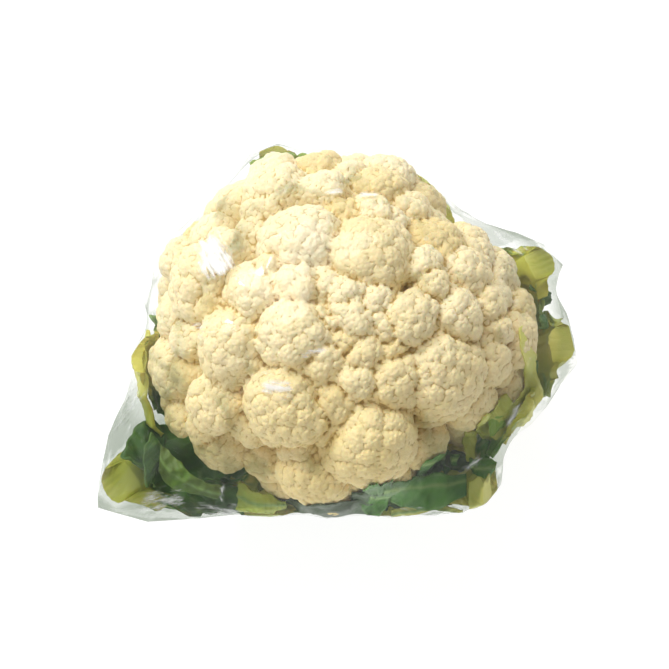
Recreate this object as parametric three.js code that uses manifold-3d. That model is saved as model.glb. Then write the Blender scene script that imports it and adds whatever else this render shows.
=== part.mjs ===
// A head of cauliflower as it is sold: the curd on its cut stem, the trimmed leaves round it, and the
// clear film that it is wrapped in. Millimetres, +Z up along the stem. The origin is the middle of the
// stem's cut face, which the head stands on, and -Y is the front, which is seen leaning back a little.
import * as THREE from "three";
import { mergeVertices } from "three/addons/utils/BufferGeometryUtils.js";
import { ConvexHull } from "three/addons/math/ConvexHull.js";
import Module from "manifold-3d";

const wasm = await Module();
wasm.setup();

const rad = THREE.MathUtils.degToRad;
const ease = THREE.MathUtils.smoothstep;
const lerp = THREE.MathUtils.lerp;

// Driving sizes of the head. Its surface is given by its distance from the heart, a point on the axis.
const HEART_Z = 66;
const DOME_RISE = 60; // from the heart up to the crown
const DOME_DROP = 48; // from the heart down, where the rim tucks under
const RIM = [
  // compass angle from +X in degrees, and the dome's radius there
  [0, 79], [20, 74], [36, 65], [51, 60], [64, 70], [78, 74], [92, 73], [106, 76], [122, 82], [144, 78],
  [157, 84], [180, 79], [198, 82], [214, 87], [234, 73], [254, 77], [270, 73], [297, 67], [311, 62],
  [325, 70], [340, 75], [360, 79],
];
const UNDER_Z = 31.5; // the underside at the axis, just above the stem
const UNDER_SLOPE = 0.2; // how steeply the stalks rise from the stem to the lowest florets
const FLORETS_TO = rad(116); // how far from the crown the florets reach
const UNDERSIDE_RINGS = [
  // angle from the crown in degrees, points round it, turn in points, and depth of the grooves between
  [123, 44, 0.5, 0.05], [130, 36, 0.5, 0.05], [138, 28, 0.5, 0.05], [148, 20, 0.5, 0], [160, 12, 0.5, 0],
  [180, 1, 0, 0],
];
const CORE_DEPTH = 15; // the solid middle lies this far under the dome
const FRONT_LEAN = rad(14); // from the axis to the direction that the florets below are seen from

// Florets as seen from the front: distance to the right and up from the heart, radius, and how far each
// one stands out or back.
const FLORETS = [
  [-34, 66, 13, 0], [-11, 65, 11, 0], [1, 70, 9, 0], [15, 66, 12, 0], [28, 58, 10, -1],
  [19, 51, 7, -2], [-53, 58, 13, 0], [-40, 56, 8, -2], [-2, 54, 8, -2], [10, 54, 8, -1],
  [-25, 42, 17, 1], [-34, 28, 7, 1], [-24, 19, 11, 1], [-43, 17, 12, 2], [-68, 24, 17, 1],
  [-58, 35, 11, 0], [-61, 11, 7, 1], [-49, 8, 6, -1], [-73, -3, 10, -1], [-54, -8, 16, 2],
  [-26, -2, 15, 2], [-74, -20, 8, -2], [-61, -32, 12, 1], [-75, -40, 8, -1], [-59, -52, 13, 0],
  [-28, -34, 17, 4], [-45, -43, 9, -1], [-37, -60, 11, -1], [-15, -66, 15, 1], [-6, -33, 9, -1],
  [10, -51, 19, 5], [5, -22, 9, 1], [22, -22, 13, 2], [44, -19, 18, 4], [63, -12, 12, 1],
  [65, 1, 7, 1], [64, 12, 9, -1], [77, 8, 9, 0], [47, 8, 12, 2], [28, 6, 12, 2],
  [37, 18, 7, 2], [34, 28, 8, 1], [41, 39, 15, 1], [54, 27, 12, 0], [69, 25, 12, 0],
  [10, 36, 17, 3], [1, 17, 9, 0], [14, 14, 8, 0], [1, 6, 9, 1], [16, 4, 7, 0],
  [20, -5, 7, 0], [-9, 21, 8, -2], [-10, 4, 7, -1], [6, -9, 8, 0], [-11, -14, 9, 0],
  [39, -31, 11, 1], [43, -47, 9, -4], [55, -41, 8, -4], [-4, -3, 7, -1],
];
const HIDDEN_FLORET_RADIUS = 12.5; // those of the rim and the back, which fill in by rule
const GAP_FLORET_RADIUS = 7.5;
const LUMP_SPACING = 7.6; // between the small heads that each floret is made of
const LUMP_RISE = 0.7;
const LUMP_TOP = 2.1; // half the width of a small head's top
const LUMP_GROOVE = 0.8; // between two small heads of one floret
const FLORET_GROOVE = 4.2; // between two florets

const STEM_RADIUS = 28;
const STEM_HEIGHT = 31;
const STEM_SIDES = 28;
const GAP = 0.35; // between pieces that touch

// Trimmed leaves: name, ring of the stem that they grow from, compass angle of the midrib from +X, how
// far out and how high the cut end is, the petiole's width, its thickness at the cut end, and the widths
// of blade left on its two sides, on the side of rising angles first. The inner ring comes last.
const LEAVES = [
  ["leaf_right", "outer", 357, 90, 66, 21, 7, 9, 10],
  ["leaf_back", "outer", 111, 79, 62, 19, 6, 12, 12],
  ["leaf_upper_left", "outer", 152, 82, 44, 20, 8, 14, 14],
  ["leaf_lower_left", "outer", 213, 117, 58, 21, 11, 25, 6],
  ["leaf_front_right", "outer", 284, 81, 52, 15, 5, 30, 16],
  ["leaf_upper_right", "inner", 20, 87, 70, 18, 9, 8, 12],
  ["leaf_back_right", "inner", 53, 62, 58, 16, 4, 10, 8],
  ["leaf_left", "inner", 188, 81, 70, 15, 4, 12, 16],
  ["leaf_front", "inner", 243, 82, 50, 18, 8, 12, 14],
  ["leaf_lower_right", "inner", 310, 88, 54, 18, 10, 10, 14],
  ["leaf_right_inner", "inner", 335, 81, 74, 14, 4, 18, 16],
];
const RINGS = {
  // heights of the petiole at the stem, under the curd and where it turns up, its way from the rim, and
  // its thickness at the stem
  outer: { rootZ: 11, underZ: 18, bendZ: 32, clear: 7, rib: 11 },
  inner: { rootZ: 22.5, underZ: 29.5, bendZ: 41, clear: 3, rib: 8 },
};
const ROOT_R = 24; // the petioles run in to here and are cut off where the stem stands
const UNDER_R = 47;
const LAID_ON = 77; // the head was wrapped lying on its front, which is pressed flat this far out
const CURD_CLEAR = 1.5; // from the curd to the inner face of a leaf
const REACH_RING = 0.07; // how far round a leaf's corner the curd is felt for, in radians
const LEAST_Z = 4.2; // of the leaves, so that the film passes under them
const BLADE = 1.5; // thickness of the blade
const WAVE = 2.4; // how far its edge waves to both sides
const LOBE = 0.16; // how much its width comes and goes
const LEAF_STEPS = 10;
const LEAF_ACROSS = 8;

const FILM = 0.8; // thickness of the film, far thicker than life so that it is a sound solid
const FILM_CLEAR = 0.8;
const FILM_POINTS = 680;
const HEM_RADIUS = 37; // the film is gathered round the foot of the stem
const HEM_PLEATS = 22;
const PLEAT_RISE = 0.96; // each other point of the hem is drawn in this much towards the heart
const HEM_Z = 1.4;
const HEM_CLEAR = 0.07; // from the hem to the film's other points, in radians from the heart
const FILM_START = 130; // how far out the film is before it is drawn in

const CORE = -1; // what the surface belongs to where it is no floret's
const UNDERSIDE = -2;
const heart = new THREE.Vector3(0, 0, HEART_Z);
const axis = new THREE.Vector3(0, 0, 1);
const front = new THREE.Vector3(0, -1, 0);

// A seeded draw, so that every build gives the same head.
function drawFrom(seed) {
  let state = seed;
  return () => {
    state = (state * 1664525 + 1013904223) % 4294967296;
    return state / 4294967296;
  };
}

// Radius of the dome's rim at a compass angle.
function rimRadius(angle) {
  const degrees = (THREE.MathUtils.radToDeg(angle) + 720) % 360;
  const next = RIM.findIndex(([to]) => to > degrees);
  const [[from, before], [to, after]] = [RIM[next - 1], RIM[next]];
  return lerp(before, after, ease(degrees, from, to));
}

// Distance from the heart to the smooth dome that the florets fill.
function domeRadius(dir) {
  const level = Math.hypot(dir.x, dir.y);
  const rise = dir.z > 0 ? DOME_RISE : DOME_DROP;
  return 1 / Math.hypot(level / rimRadius(Math.atan2(dir.y, dir.x)), dir.z / rise);
}

// Distance from the heart to the underside: flat over the stem, then rising along the stalks.
function underRadius(dir) {
  if (dir.z >= 0) return Infinity;
  const flat = (HEART_Z - UNDER_Z) / -dir.z;
  const level = Math.hypot(dir.x, dir.y);
  return Math.min(flat, (HEART_Z - UNDER_Z + UNDER_SLOPE * STEM_RADIUS) / (UNDER_SLOPE * level - dir.z));
}

// The point of the dome that is seen at this distance to the right and up from the front.
function onDome(across, up) {
  for (let shrink = 1; ; shrink *= 0.98) {
    for (let depth = 90; depth > -30; depth -= 0.5) {
      const y = up * shrink * Math.cos(FRONT_LEAN) - depth * Math.sin(FRONT_LEAN);
      const z = up * shrink * Math.sin(FRONT_LEAN) + depth * Math.cos(FRONT_LEAN);
      const point = new THREE.Vector3(across * shrink, y, z);
      if (point.length() <= domeRadius(point.clone().normalize())) return point;
    }
  }
}

// Points spread evenly over a sphere, from its top down.
function spiral(count, k) {
  const z = 1 - (2 * k + 1) / count;
  const turn = k * Math.PI * (3 - Math.sqrt(5));
  const level = Math.sqrt(1 - z * z);
  return new THREE.Vector3(level * Math.cos(turn), level * Math.sin(turn), z);
}

// Each floret is a ball that stands out of the dome: its middle, seen from the heart, and its radius.
// The hidden ones fill the rim and the back, and small ones fill what gaps are left.
function floretBalls() {
  const balls = [];
  const add = (tip, radius, out) =>
    balls.push({ middle: tip.clone().setLength(tip.length() - 0.82 * radius + out), radius, tip });
  for (const [across, up, radius, out] of FLORETS) add(onDome(across, up), radius * 1.05, out);
  const spread = 900;
  const draw = drawFrom(3);
  for (const [room, radius, out] of [[7.5, HIDDEN_FLORET_RADIUS, 1], [5.2, GAP_FLORET_RADIUS, -3]]) {
    for (let k = 0; k < spread; k++) {
      const dir = spiral(spread, k);
      if (Math.acos(dir.z) > FLORETS_TO) break;
      const tip = dir.multiplyScalar(domeRadius(dir));
      const free = Math.min(...balls.map((b) => b.tip.distanceTo(tip) - b.radius * 0.84));
      if (free > room) add(tip, radius * (0.85 + 0.3 * draw()), out + 2 * draw() - 1);
    }
  }
  return balls;
}
const balls = floretBalls();

// Distance from the heart to the surface of the florets, and which floret it is there.
function floretSurface(dir) {
  let best = domeRadius(dir) - CORE_DEPTH;
  let owner = CORE;
  balls.forEach((ball, i) => {
    const along = dir.dot(ball.middle);
    const inside = ball.radius ** 2 - ball.middle.lengthSq() + along ** 2;
    if (along > 0 && inside > 0 && along + Math.sqrt(inside) > best) {
      best = along + Math.sqrt(inside);
      owner = i;
    }
  });
  const under = underRadius(dir);
  return under < best ? { radius: under, owner: UNDERSIDE } : { radius: best, owner };
}

// The small heads of the florets: directions from the heart, spaced evenly over the florets' surface.
function lumpSeeds() {
  const seeds = [];
  const spread = 9000;
  for (let k = 0; k < spread; k++) {
    const dir = spiral(spread, k);
    if (Math.acos(dir.z) > FLORETS_TO) break;
    const here = floretSurface(dir);
    const point = dir.clone().multiplyScalar(here.radius);
    if (seeds.every((s) => s.point.distanceTo(point) > LUMP_SPACING)) seeds.push({ dir, point, ...here });
  }
  return seeds;
}

// The top of a small head: three points of the surface round its middle, raised a little.
function lumpTop(seed, twist) {
  const side = new THREE.Vector3(1, 0, 0).cross(seed.dir).setLength(LUMP_TOP);
  return [0, 1, 2].map((k) => {
    const off = side.clone().applyAxisAngle(seed.dir, twist + (k * 2 * Math.PI) / 3);
    const dir = seed.point.clone().add(off).normalize();
    const radius = Math.min(floretSurface(dir).radius, seed.radius + 1) + LUMP_RISE;
    return { dir, owner: seed.owner, radius };
  });
}

// The underside: rings of points round the axis, each other one of the outer rings drawn in between two
// of the stalks that run to the stem.
function undersideSeeds() {
  const seeds = [];
  for (const [degrees, count, turned, groove] of UNDERSIDE_RINGS) {
    for (let k = 0; k < count; k++) {
      const turn = ((k + turned) * 2 * Math.PI) / count;
      const dir = new THREE.Vector3(0, 0, 1).applyAxisAngle(front, rad(degrees)).applyAxisAngle(axis, turn);
      seeds.push({ dir, owner: UNDERSIDE, radius: floretSurface(dir).radius * (k % 2 ? 1 - groove : 1) });
    }
  }
  return seeds;
}

// Triangles of the sphere between directions, as the faces of their hull.
function trianglesBetween(seeds) {
  seeds.forEach((s, i) => (s.dir.seed = i));
  const faces = new ConvexHull().setFromPoints(seeds.map((s) => s.dir)).faces;
  return faces.map((face) => ({
    corners: [face.edge.prev, face.edge, face.edge.next].map((edge) => edge.head().point.seed),
    normal: face.normal.clone(),
  }));
}

// The curd: small heads stand up at the seeds, and the creases run through the middles of the triangles
// between them.
function curdGeometry() {
  const draw = drawFrom(7);
  const lumps = lumpSeeds();
  const under = undersideSeeds();
  const seeds = [...lumps, ...under];
  const middles = [];
  for (const { corners, normal } of trianglesBetween(seeds)) {
    const owners = new Set(corners.map((i) => seeds[i].owner));
    if (owners.size === 1 && owners.has(UNDERSIDE)) continue;
    const here = floretSurface(normal);
    if (here.owner === UNDERSIDE) continue;
    const crowded = [...corners.map((i) => seeds[i]), ...middles].some((s) => s.dir.angleTo(normal) < 0.022);
    if (crowded) continue;
    const groove = owners.size > 1 ? FLORET_GROOVE : LUMP_GROOVE;
    middles.push({ dir: normal, owner: here.owner, radius: here.radius - groove });
  }
  const all = [...lumps.flatMap((lump) => lumpTop(lump, 2 * Math.PI * draw())), ...under, ...middles];
  const places = all.map((s) => s.dir.clone().multiplyScalar(s.radius).add(heart));
  const corners = trianglesBetween(all).flatMap((face) => face.corners);
  return new THREE.BufferGeometry().setFromPoints(places).setIndex(corners);
}

// The furthest that the curd reaches from the heart in this direction and a ring of others round it.
function curdReach(dir) {
  const off = new THREE.Vector3(-dir.y, dir.x, 0).setLength(REACH_RING);
  const around = [0, 1, 2, 3, 4, 5].map((k) => off.clone().applyAxisAngle(dir, (k * Math.PI) / 3).add(dir));
  return Math.max(...[dir, ...around].map((near) => floretSurface(near.normalize()).radius)) + LUMP_RISE;
}

// The stump of the stem, cut flat below and rounded above, with the ring that the leaves grew from.
function stemGeometry() {
  const profile = [
    [0, 0], [25, 0], [27, 1.2], [STEM_RADIUS, 5], [27.5, 16], [25.5, 19], [25.5, 27], [24, STEM_HEIGHT],
    [0, STEM_HEIGHT],
  ];
  const places = profile.map(([r, z]) => new THREE.Vector2(r, z));
  return new THREE.LatheGeometry(places, STEM_SIDES).rotateX(Math.PI / 2);
}

// A trimmed leaf: a thick petiole that leaves the stem, runs out under the curd and turns up beside it,
// with what is left of its blade on both sides and a straight cut across the end.
function leafGeometry([, ringName, degrees, reach, tipZ, width, tip, left, right]) {
  const ring = RINGS[ringName];
  const angle = rad(degrees);
  const rim = rimRadius(angle);
  const phase = drawFrom(degrees)() * 2 * Math.PI;
  const route = [
    [ROOT_R, ring.rootZ],
    [UNDER_R, ring.underZ],
    [Math.min(rim - 5, reach - 8), ring.bendZ],
    [Math.min(rim + ring.clear, reach - 2), lerp(ring.bendZ, tipZ, 0.45)],
    [reach, tipZ],
  ];
  const places = route.map(([r, z]) => new THREE.Vector3(r, 0, z));
  const line = new THREE.CatmullRomCurve3(places, false, "centripetal");
  const pairs = [];
  for (let i = 0; i <= LEAF_STEPS; i++) {
    const u = i / LEAF_STEPS;
    const rib = lerp(ring.rib, tip, u);
    const ribHalf = (width / 2) * lerp(1.25, 0.75, ease(u, 0, 0.45));
    const grown = ease(u, 0.4, 0.75);
    const lobes = 1 + LOBE * Math.sin(phase + 19 * u);
    for (let j = 0; j <= LEAF_ACROSS; j++) {
      const v = (2 * j) / LEAF_ACROSS - 1;
      const inRib = Math.min(Math.abs(v) * 2, 1);
      const inBlade = Math.max(Math.abs(v) * 2 - 1, 0);
      const blade = 1.5 + (v < 0 ? right : left) * grown * lobes;
      const side = Math.sign(v) * (inRib * ribHalf + inBlade * blade);
      const cutBack = 1 - 0.1 * inBlade * ease(u, 0.7, 1);
      const at = line.getPointAt(u * cutBack);
      const along = line.getTangentAt(u * cutBack);
      const out = new THREE.Vector3(along.z, 0, -along.x);
      const thick = BLADE + (rib - BLADE) * Math.sqrt(1 - inRib * inRib * 0.999);
      const wave = grown * inBlade * WAVE * Math.sin(phase + 9 * u + 2.1 * v);
      const turn = angle + side / Math.max(at.x, ROOT_R + 10);
      const place = (offset) => at.clone().addScaledVector(out, offset + wave).applyAxisAngle(axis, turn);
      const inner = place(-0.3 * thick);
      const outer = place(0.7 * thick);
      const push = clearOfCurd(inner).add(behindFront(outer));
      for (const point of [inner, outer]) {
        point.add(push);
        point.z = Math.max(point.z, LEAST_Z);
      }
      pairs.push(inner, outer);
    }
  }
  return sheetBetween(pairs, LEAF_STEPS + 1, LEAF_ACROSS + 1);
}

// The move that brings a point out of the curd.
function clearOfCurd(point) {
  const seen = point.clone().sub(heart);
  const short = curdReach(seen.clone().normalize()) + CURD_CLEAR - seen.length();
  return seen.setLength(Math.max(short, 0));
}

// The move that brings a point back behind the flat front.
function behindFront(point) {
  const up = new THREE.Vector3(0, Math.cos(FRONT_LEAN), Math.sin(FRONT_LEAN));
  const below = -LAID_ON - point.clone().sub(heart).dot(up);
  return up.multiplyScalar(Math.max(below, 0));
}

// A closed sheet from a grid of pairs of points, the inner and the outer face, with both faces split
// alike into triangles.
function sheetBetween(pairs, rows, columns) {
  const index = [];
  const at = (i, j, face) => 2 * (i * columns + j) + face;
  const quad = (a, b, c, d) => index.push(a, b, c, a, c, d);
  for (let i = 0; i + 1 < rows; i++) {
    for (let j = 0; j + 1 < columns; j++) {
      quad(at(i, j, 1), at(i + 1, j, 1), at(i + 1, j + 1, 1), at(i, j + 1, 1));
      quad(at(i + 1, j + 1, 0), at(i + 1, j, 0), at(i, j, 0), at(i, j + 1, 0));
    }
  }
  const last = { row: rows - 1, column: columns - 1 };
  for (let i = 0; i < last.row; i++) {
    quad(at(i, 0, 0), at(i + 1, 0, 0), at(i + 1, 0, 1), at(i, 0, 1));
    quad(at(i, last.column, 1), at(i + 1, last.column, 1), at(i + 1, last.column, 0), at(i, last.column, 0));
  }
  for (let j = 0; j < last.column; j++) {
    quad(at(0, j, 1), at(0, j + 1, 1), at(0, j + 1, 0), at(0, j, 0));
    quad(at(last.row, j, 0), at(last.row, j + 1, 0), at(last.row, j + 1, 1), at(last.row, j, 1));
  }
  return new THREE.BufferGeometry().setFromPoints(pairs).setIndex(index);
}

// A closed geometry as a solid, with its faces turned out.
function solidOf(geometry) {
  const bare = geometry.clone();
  bare.deleteAttribute("normal");
  bare.deleteAttribute("uv");
  const merged = mergeVertices(bare, 1e-4);
  const vertProperties = merged.attributes.position.array;
  const build = (corners) =>
    new wasm.Manifold(new wasm.Mesh({ numProp: 3, vertProperties, triVerts: new Uint32Array(corners) }));
  const corners = [...merged.index.array];
  const solid = build(corners);
  return solid.volume() > 0 ? solid : build(corners.reverse());
}

// The largest body of a solid: cutting may leave loose scraps beside it.
function largestBody(solid) {
  return solid.decompose().reduce((a, b) => (b.volume() > a.volume() ? b : a));
}

// The corners of a solid's mesh.
function cornersOf(mesh) {
  const cornerAt = (i) => new THREE.Vector3().fromArray(mesh.vertProperties, i * mesh.numProp);
  return Array.from({ length: mesh.numVert }, (_, i) => cornerAt(i));
}

function geometryOf(solid) {
  const mesh = solid.getMesh();
  return new THREE.BufferGeometry().setFromPoints(cornersOf(mesh)).setIndex([...mesh.triVerts]);
}

const group = new THREE.Group();
const finishes = {
  curd: new THREE.MeshStandardMaterial({ color: 0xeee0b8, roughness: 0.7 }),
  stem: new THREE.MeshStandardMaterial({ color: 0xdde2b4, roughness: 0.6 }),
  leaf: new THREE.MeshStandardMaterial({ color: 0x8fae4e, roughness: 0.55 }),
  film: new THREE.MeshStandardMaterial({ color: 0xeef2f2, roughness: 0.12, transparent: true, opacity: 0.2 }),
};

function addPiece(name, geometry, finish) {
  const mesh = new THREE.Mesh(geometry, finish);
  mesh.name = name;
  mesh.geometry.computeVertexNormals();
  group.add(mesh);
}

// A solid grown by the gap on all sides, which cuts that gap into what it is taken from.
function grownByGap(solid) {
  const geometry = geometryOf(solid);
  geometry.computeVertexNormals();
  const { position, normal } = geometry.attributes;
  for (let i = 0; i < position.count; i++) {
    const point = new THREE.Vector3().fromBufferAttribute(position, i);
    point.addScaledVector(new THREE.Vector3().fromBufferAttribute(normal, i), 1.4 * GAP);
    position.setXYZ(i, ...point);
  }
  return solidOf(geometry);
}

// The leaves are cut back where the stem, the curd or a leaf of the inner ring is in their way.
function leafSolids() {
  const cutters = [grownByGap(stem), grownByGap(curd)];
  return [...LEAVES].reverse().map((leaf) => {
    const whole = solidOf(leafGeometry(leaf));
    const solid = largestBody(cutters.reduce((rest, cutter) => rest.subtract(cutter), whole));
    cutters.push(grownByGap(solid));
    return { name: leaf[0], solid };
  });
}

// Sample points of a solid's surface: its corners and the middles of its edges and faces.
function surfacePoints(solid) {
  const mesh = solid.getMesh();
  const corners = cornersOf(mesh);
  const points = [];
  for (let t = 0; t < mesh.triVerts.length; t += 3) {
    const [a, b, c] = [0, 1, 2].map((k) => corners[mesh.triVerts[t + k]]);
    points.push(a, a.clone().lerp(b, 0.5), b.clone().lerp(c, 0.5), a.clone().add(b).add(c).divideScalar(3));
  }
  return points;
}

// The film's points, each free to slide along its own line from the heart, and after them those of the
// hem, which is gathered in pleats and stays where it is.
function filmSeeds() {
  const hemTurn = Math.PI - Math.atan2(HEM_RADIUS, HEART_Z - HEM_Z);
  const seeds = [];
  for (let k = 0; k < FILM_POINTS; k++) {
    const dir = spiral(FILM_POINTS, k);
    if (Math.acos(dir.z) < hemTurn - HEM_CLEAR) seeds.push({ dir, far: FILM_START, free: true });
  }
  for (let k = 0; k < 2 * HEM_PLEATS; k++) {
    const turn = (k * Math.PI) / HEM_PLEATS;
    const hem = new THREE.Vector3(HEM_RADIUS, 0, HEM_Z - HEART_Z).applyAxisAngle(axis, turn);
    seeds.push({ dir: hem.clone().normalize(), far: hem.length() * (k % 2 ? 1 : PLEAT_RISE), free: false });
  }
  return seeds;
}

// What holds the film off: for each point under it, the corners of the face that it lies under, its share
// of each, and the least distance from the heart that the face has to keep there. The face keeps it while
// the sum of the shares, each over its corner's distance, is no more than one over that distance.
function filmHolds(covered, seeds, faces) {
  const bases = faces.map((ids) => {
    const [a, b, c] = ids.map((i) => seeds[i].dir);
    return new THREE.Matrix3(a.x, b.x, c.x, a.y, b.y, c.y, a.z, b.z, c.z).invert();
  });
  const holds = [];
  for (const point of covered.flatMap(surfacePoints)) {
    const seen = point.clone().sub(heart);
    const most = 1 / (seen.length() + FILM_CLEAR);
    seen.normalize();
    const f = faces.findIndex((ids, k) => {
      if (seeds[ids[0]].dir.dot(seen) < 0.9) return false;
      return Math.min(...seen.clone().applyMatrix3(bases[k])) > -1e-6;
    });
    if (f < 0) continue;
    holds.push({ at: faces[f].map((i) => seeds[i]), share: [...seen.applyMatrix3(bases[f])], most });
  }
  return holds;
}

// Moves the corners of each face that is held off out to where it clears its point.
function holdOff(holds) {
  for (const { at, share, most } of holds) {
    const over = share[0] / at[0].far + share[1] / at[1].far + share[2] / at[2].far - most;
    if (over <= 0) continue;
    const step = over / (share[0] ** 2 + share[1] ** 2 + share[2] ** 2);
    at.forEach((seed, k) => {
      if (seed.free) seed.far = 1 / (1 / seed.far - share[k] * step);
    });
  }
}

// Draws each free point in to between its neighbours, and never under the ground.
function drawIn(seeds) {
  for (const seed of seeds.filter(({ free }) => free)) {
    const pulled = new THREE.Vector3();
    for (const near of seed.near) pulled.addScaledVector(near.dir, near.far / seed.near.size);
    const ground = seed.dir.z < 0 ? (HEART_Z - HEM_Z) / -seed.dir.z : Infinity;
    seed.far = Math.min(lerp(seed.far, pulled.dot(seed.dir), 0.7), ground);
  }
}

// The film: a sheet drawn tight over all that it covers.
function filmGeometry(covered) {
  const seeds = filmSeeds();
  const triangles = trianglesBetween(seeds).map(({ corners }) => corners);
  const faces = triangles.filter((ids) => ids.some((i) => seeds[i].free));
  for (const [i, seed] of seeds.entries()) {
    const around = faces.filter((ids) => ids.includes(i)).flat();
    seed.near = new Set(around.filter((k) => k !== i).map((k) => seeds[k]));
  }
  const holds = filmHolds(covered, seeds, faces);
  for (let pass = 0; pass < 260; pass++) {
    drawIn(seeds);
    holdOff(holds);
  }
  for (let pass = 0; pass < 40; pass++) holdOff(holds);

  const places = seeds.map((seed) => seed.dir.clone().multiplyScalar(seed.far).add(heart));
  const inner = new THREE.BufferGeometry().setFromPoints(places).setIndex(faces.flat());
  inner.computeVertexNormals();
  const normalAt = (i) => new THREE.Vector3().fromBufferAttribute(inner.attributes.normal, i);
  const outer = places.map((place, i) => place.clone().addScaledVector(normalAt(i), FILM));
  const count = seeds.length;
  const index = faces.flatMap(([a, b, c]) => [a, b, c, count + a, count + c, count + b]);
  for (let k = 0; k < 2 * HEM_PLEATS; k++) {
    const a = count - 2 * HEM_PLEATS + k;
    const b = count - 2 * HEM_PLEATS + ((k + 1) % (2 * HEM_PLEATS));
    index.push(a, count + a, b, b, count + a, count + b);
  }
  return new THREE.BufferGeometry().setFromPoints([...outer, ...places]).setIndex(index);
}

const curd = solidOf(curdGeometry());
const stem = solidOf(stemGeometry());
const leaves = leafSolids();
const film = solidOf(filmGeometry([curd, ...leaves.map((leaf) => leaf.solid)]));

addPiece("curd", geometryOf(curd), finishes.curd);
addPiece("stem", geometryOf(stem), finishes.stem);
for (const { name, solid } of leaves) addPiece(name, geometryOf(solid), finishes.leaf);
addPiece("film_wrap", geometryOf(film), finishes.film);

export default group;
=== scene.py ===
# A head of cauliflower in clear film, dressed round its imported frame: the curd of fine buds, the cut
# stem, the trimmed leaves and the film. Sizes are in millimetres, taken from the part, and become
# metres where a mesh is made. +Z runs up the stem and -Y is the front, which the photo shows lowest.
import math
import bmesh
import bpy
import numpy as np
from mathutils import Matrix, Vector, kdtree
from mathutils.bvhtree import BVHTree


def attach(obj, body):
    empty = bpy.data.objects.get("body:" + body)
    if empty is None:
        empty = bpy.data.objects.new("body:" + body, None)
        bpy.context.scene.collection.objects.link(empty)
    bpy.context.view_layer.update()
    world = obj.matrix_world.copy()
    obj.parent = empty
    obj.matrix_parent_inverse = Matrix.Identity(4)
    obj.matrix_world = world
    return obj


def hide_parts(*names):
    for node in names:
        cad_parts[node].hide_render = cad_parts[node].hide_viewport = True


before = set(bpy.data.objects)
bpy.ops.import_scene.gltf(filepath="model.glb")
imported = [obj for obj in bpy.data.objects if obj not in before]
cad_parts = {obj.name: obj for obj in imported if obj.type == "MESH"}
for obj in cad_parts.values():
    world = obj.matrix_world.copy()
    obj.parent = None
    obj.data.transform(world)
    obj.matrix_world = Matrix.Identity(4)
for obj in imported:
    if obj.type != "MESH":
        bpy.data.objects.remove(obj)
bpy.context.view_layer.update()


# The curd. It is one grown mass: florets press together over the dome, each is a cluster of small
# heads, and each head is a cluster of buds 2 to 3 mm across. Cream-white flesh with painted shade, tan
# in the creases, brown in the hollows and yellower low on the front, and smooth pale stalks that run
# together underneath.
MM = 0.001
HEART = np.array([0.0, 0.0, 66.0])  # the dome is given by its distance from here
DOME_RISE = 60.0
DOME_DROP = 48.0
RIM = np.array([
    # compass angle from +X in degrees, and the dome's radius there
    (0, 79), (20, 74), (36, 65), (51, 60), (64, 70), (78, 74), (92, 73), (106, 76), (122, 82),
    (144, 78), (157, 84), (180, 79), (198, 82), (214, 87), (234, 73), (254, 77), (270, 73),
    (297, 67), (311, 62), (325, 70), (340, 75), (360, 79),
], float)
UNDER_Z = 31.5
UNDER_SLOPE = 0.2
FLORETS_TO = math.radians(116)
FRONT_LEAN = math.radians(14)
STEM_RADIUS = 28.0
FLORETS = [
    # seen from the front: how far right and up from the heart, radius, how far it stands out
    (-34, 66, 13, 0), (-11, 65, 11, 0), (1, 70, 9, 0), (15, 66, 12, 0), (28, 58, 10, -1),
    (19, 51, 7, -2), (-53, 58, 13, 0), (-40, 56, 8, -2), (-2, 54, 8, -2), (10, 54, 8, -1),
    (-25, 42, 17, 1), (-34, 28, 7, 1), (-24, 19, 11, 1), (-43, 17, 12, 2), (-68, 24, 17, 1),
    (-58, 35, 11, 0), (-61, 11, 7, 1), (-49, 8, 6, -1), (-73, -3, 10, -1), (-54, -8, 16, 2),
    (-26, -2, 15, 2), (-74, -20, 8, -2), (-61, -32, 12, 1), (-75, -40, 8, -1), (-59, -52, 13, 0),
    (-28, -34, 17, 4), (-45, -43, 9, -1), (-37, -60, 11, -1), (-15, -66, 15, 1), (-6, -33, 9, -1),
    (10, -51, 19, 5), (5, -22, 9, 1), (22, -22, 13, 2), (44, -19, 18, 4), (63, -12, 12, 1),
    (65, 1, 7, 1), (64, 12, 9, -1), (77, 8, 9, 0), (47, 8, 12, 2), (28, 6, 12, 2),
    (37, 18, 7, 2), (34, 28, 8, 1), (41, 39, 15, 1), (54, 27, 12, 0), (69, 25, 12, 0),
    (10, 36, 17, 3), (1, 17, 9, 0), (14, 14, 8, 0), (1, 6, 9, 1), (16, 4, 7, 0),
    (20, -5, 7, 0), (-9, 21, 8, -2), (-10, 4, 7, -1), (6, -9, 8, 0), (-11, -14, 9, 0),
    (39, -31, 11, 1), (43, -47, 9, -4), (55, -41, 8, -4), (-4, -3, 7, -1),
]
SPREAD = 900  # directions tried for the florets that the photo doesn't show
FILLERS = [(7.5, 12.5, 1), (5.2, 7.5, -3)]  # free room that one needs, its radius, how far it stands out
CORE, UNDERSIDE = -1, -2  # what the surface belongs to where it is no floret's
SQUARE = 2.5  # a floret is a ball with a broader top and steeper sides, by this exponent
SWAY = 0.02  # how far the florets' outlines wander from round ones
SWAY_WAVES = (9.0, 14.0, 23.0)
BALL_SUNK = 0.82  # of its radius, how far a floret's middle lies under its tip
BALL_WIDER = 1.05  # the sketched radii grow by this, so that the florets meet
BALL_KEEPS = 0.84  # of its radius, the room round a tip that a floret keeps to itself
FLOOR_DEPTH = 12.0  # between florets the surface lies this far under the dome
GROOVE = 2.8  # two florets press together along a groove this deep
GROOVE_WIDE = 1.0
BALL_LEVELS = 8  # how often the first ball of triangles is split
HEADS_APART = 6.8  # the small heads of a floret
HEAD_HEIGHT = 1.7
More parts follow.
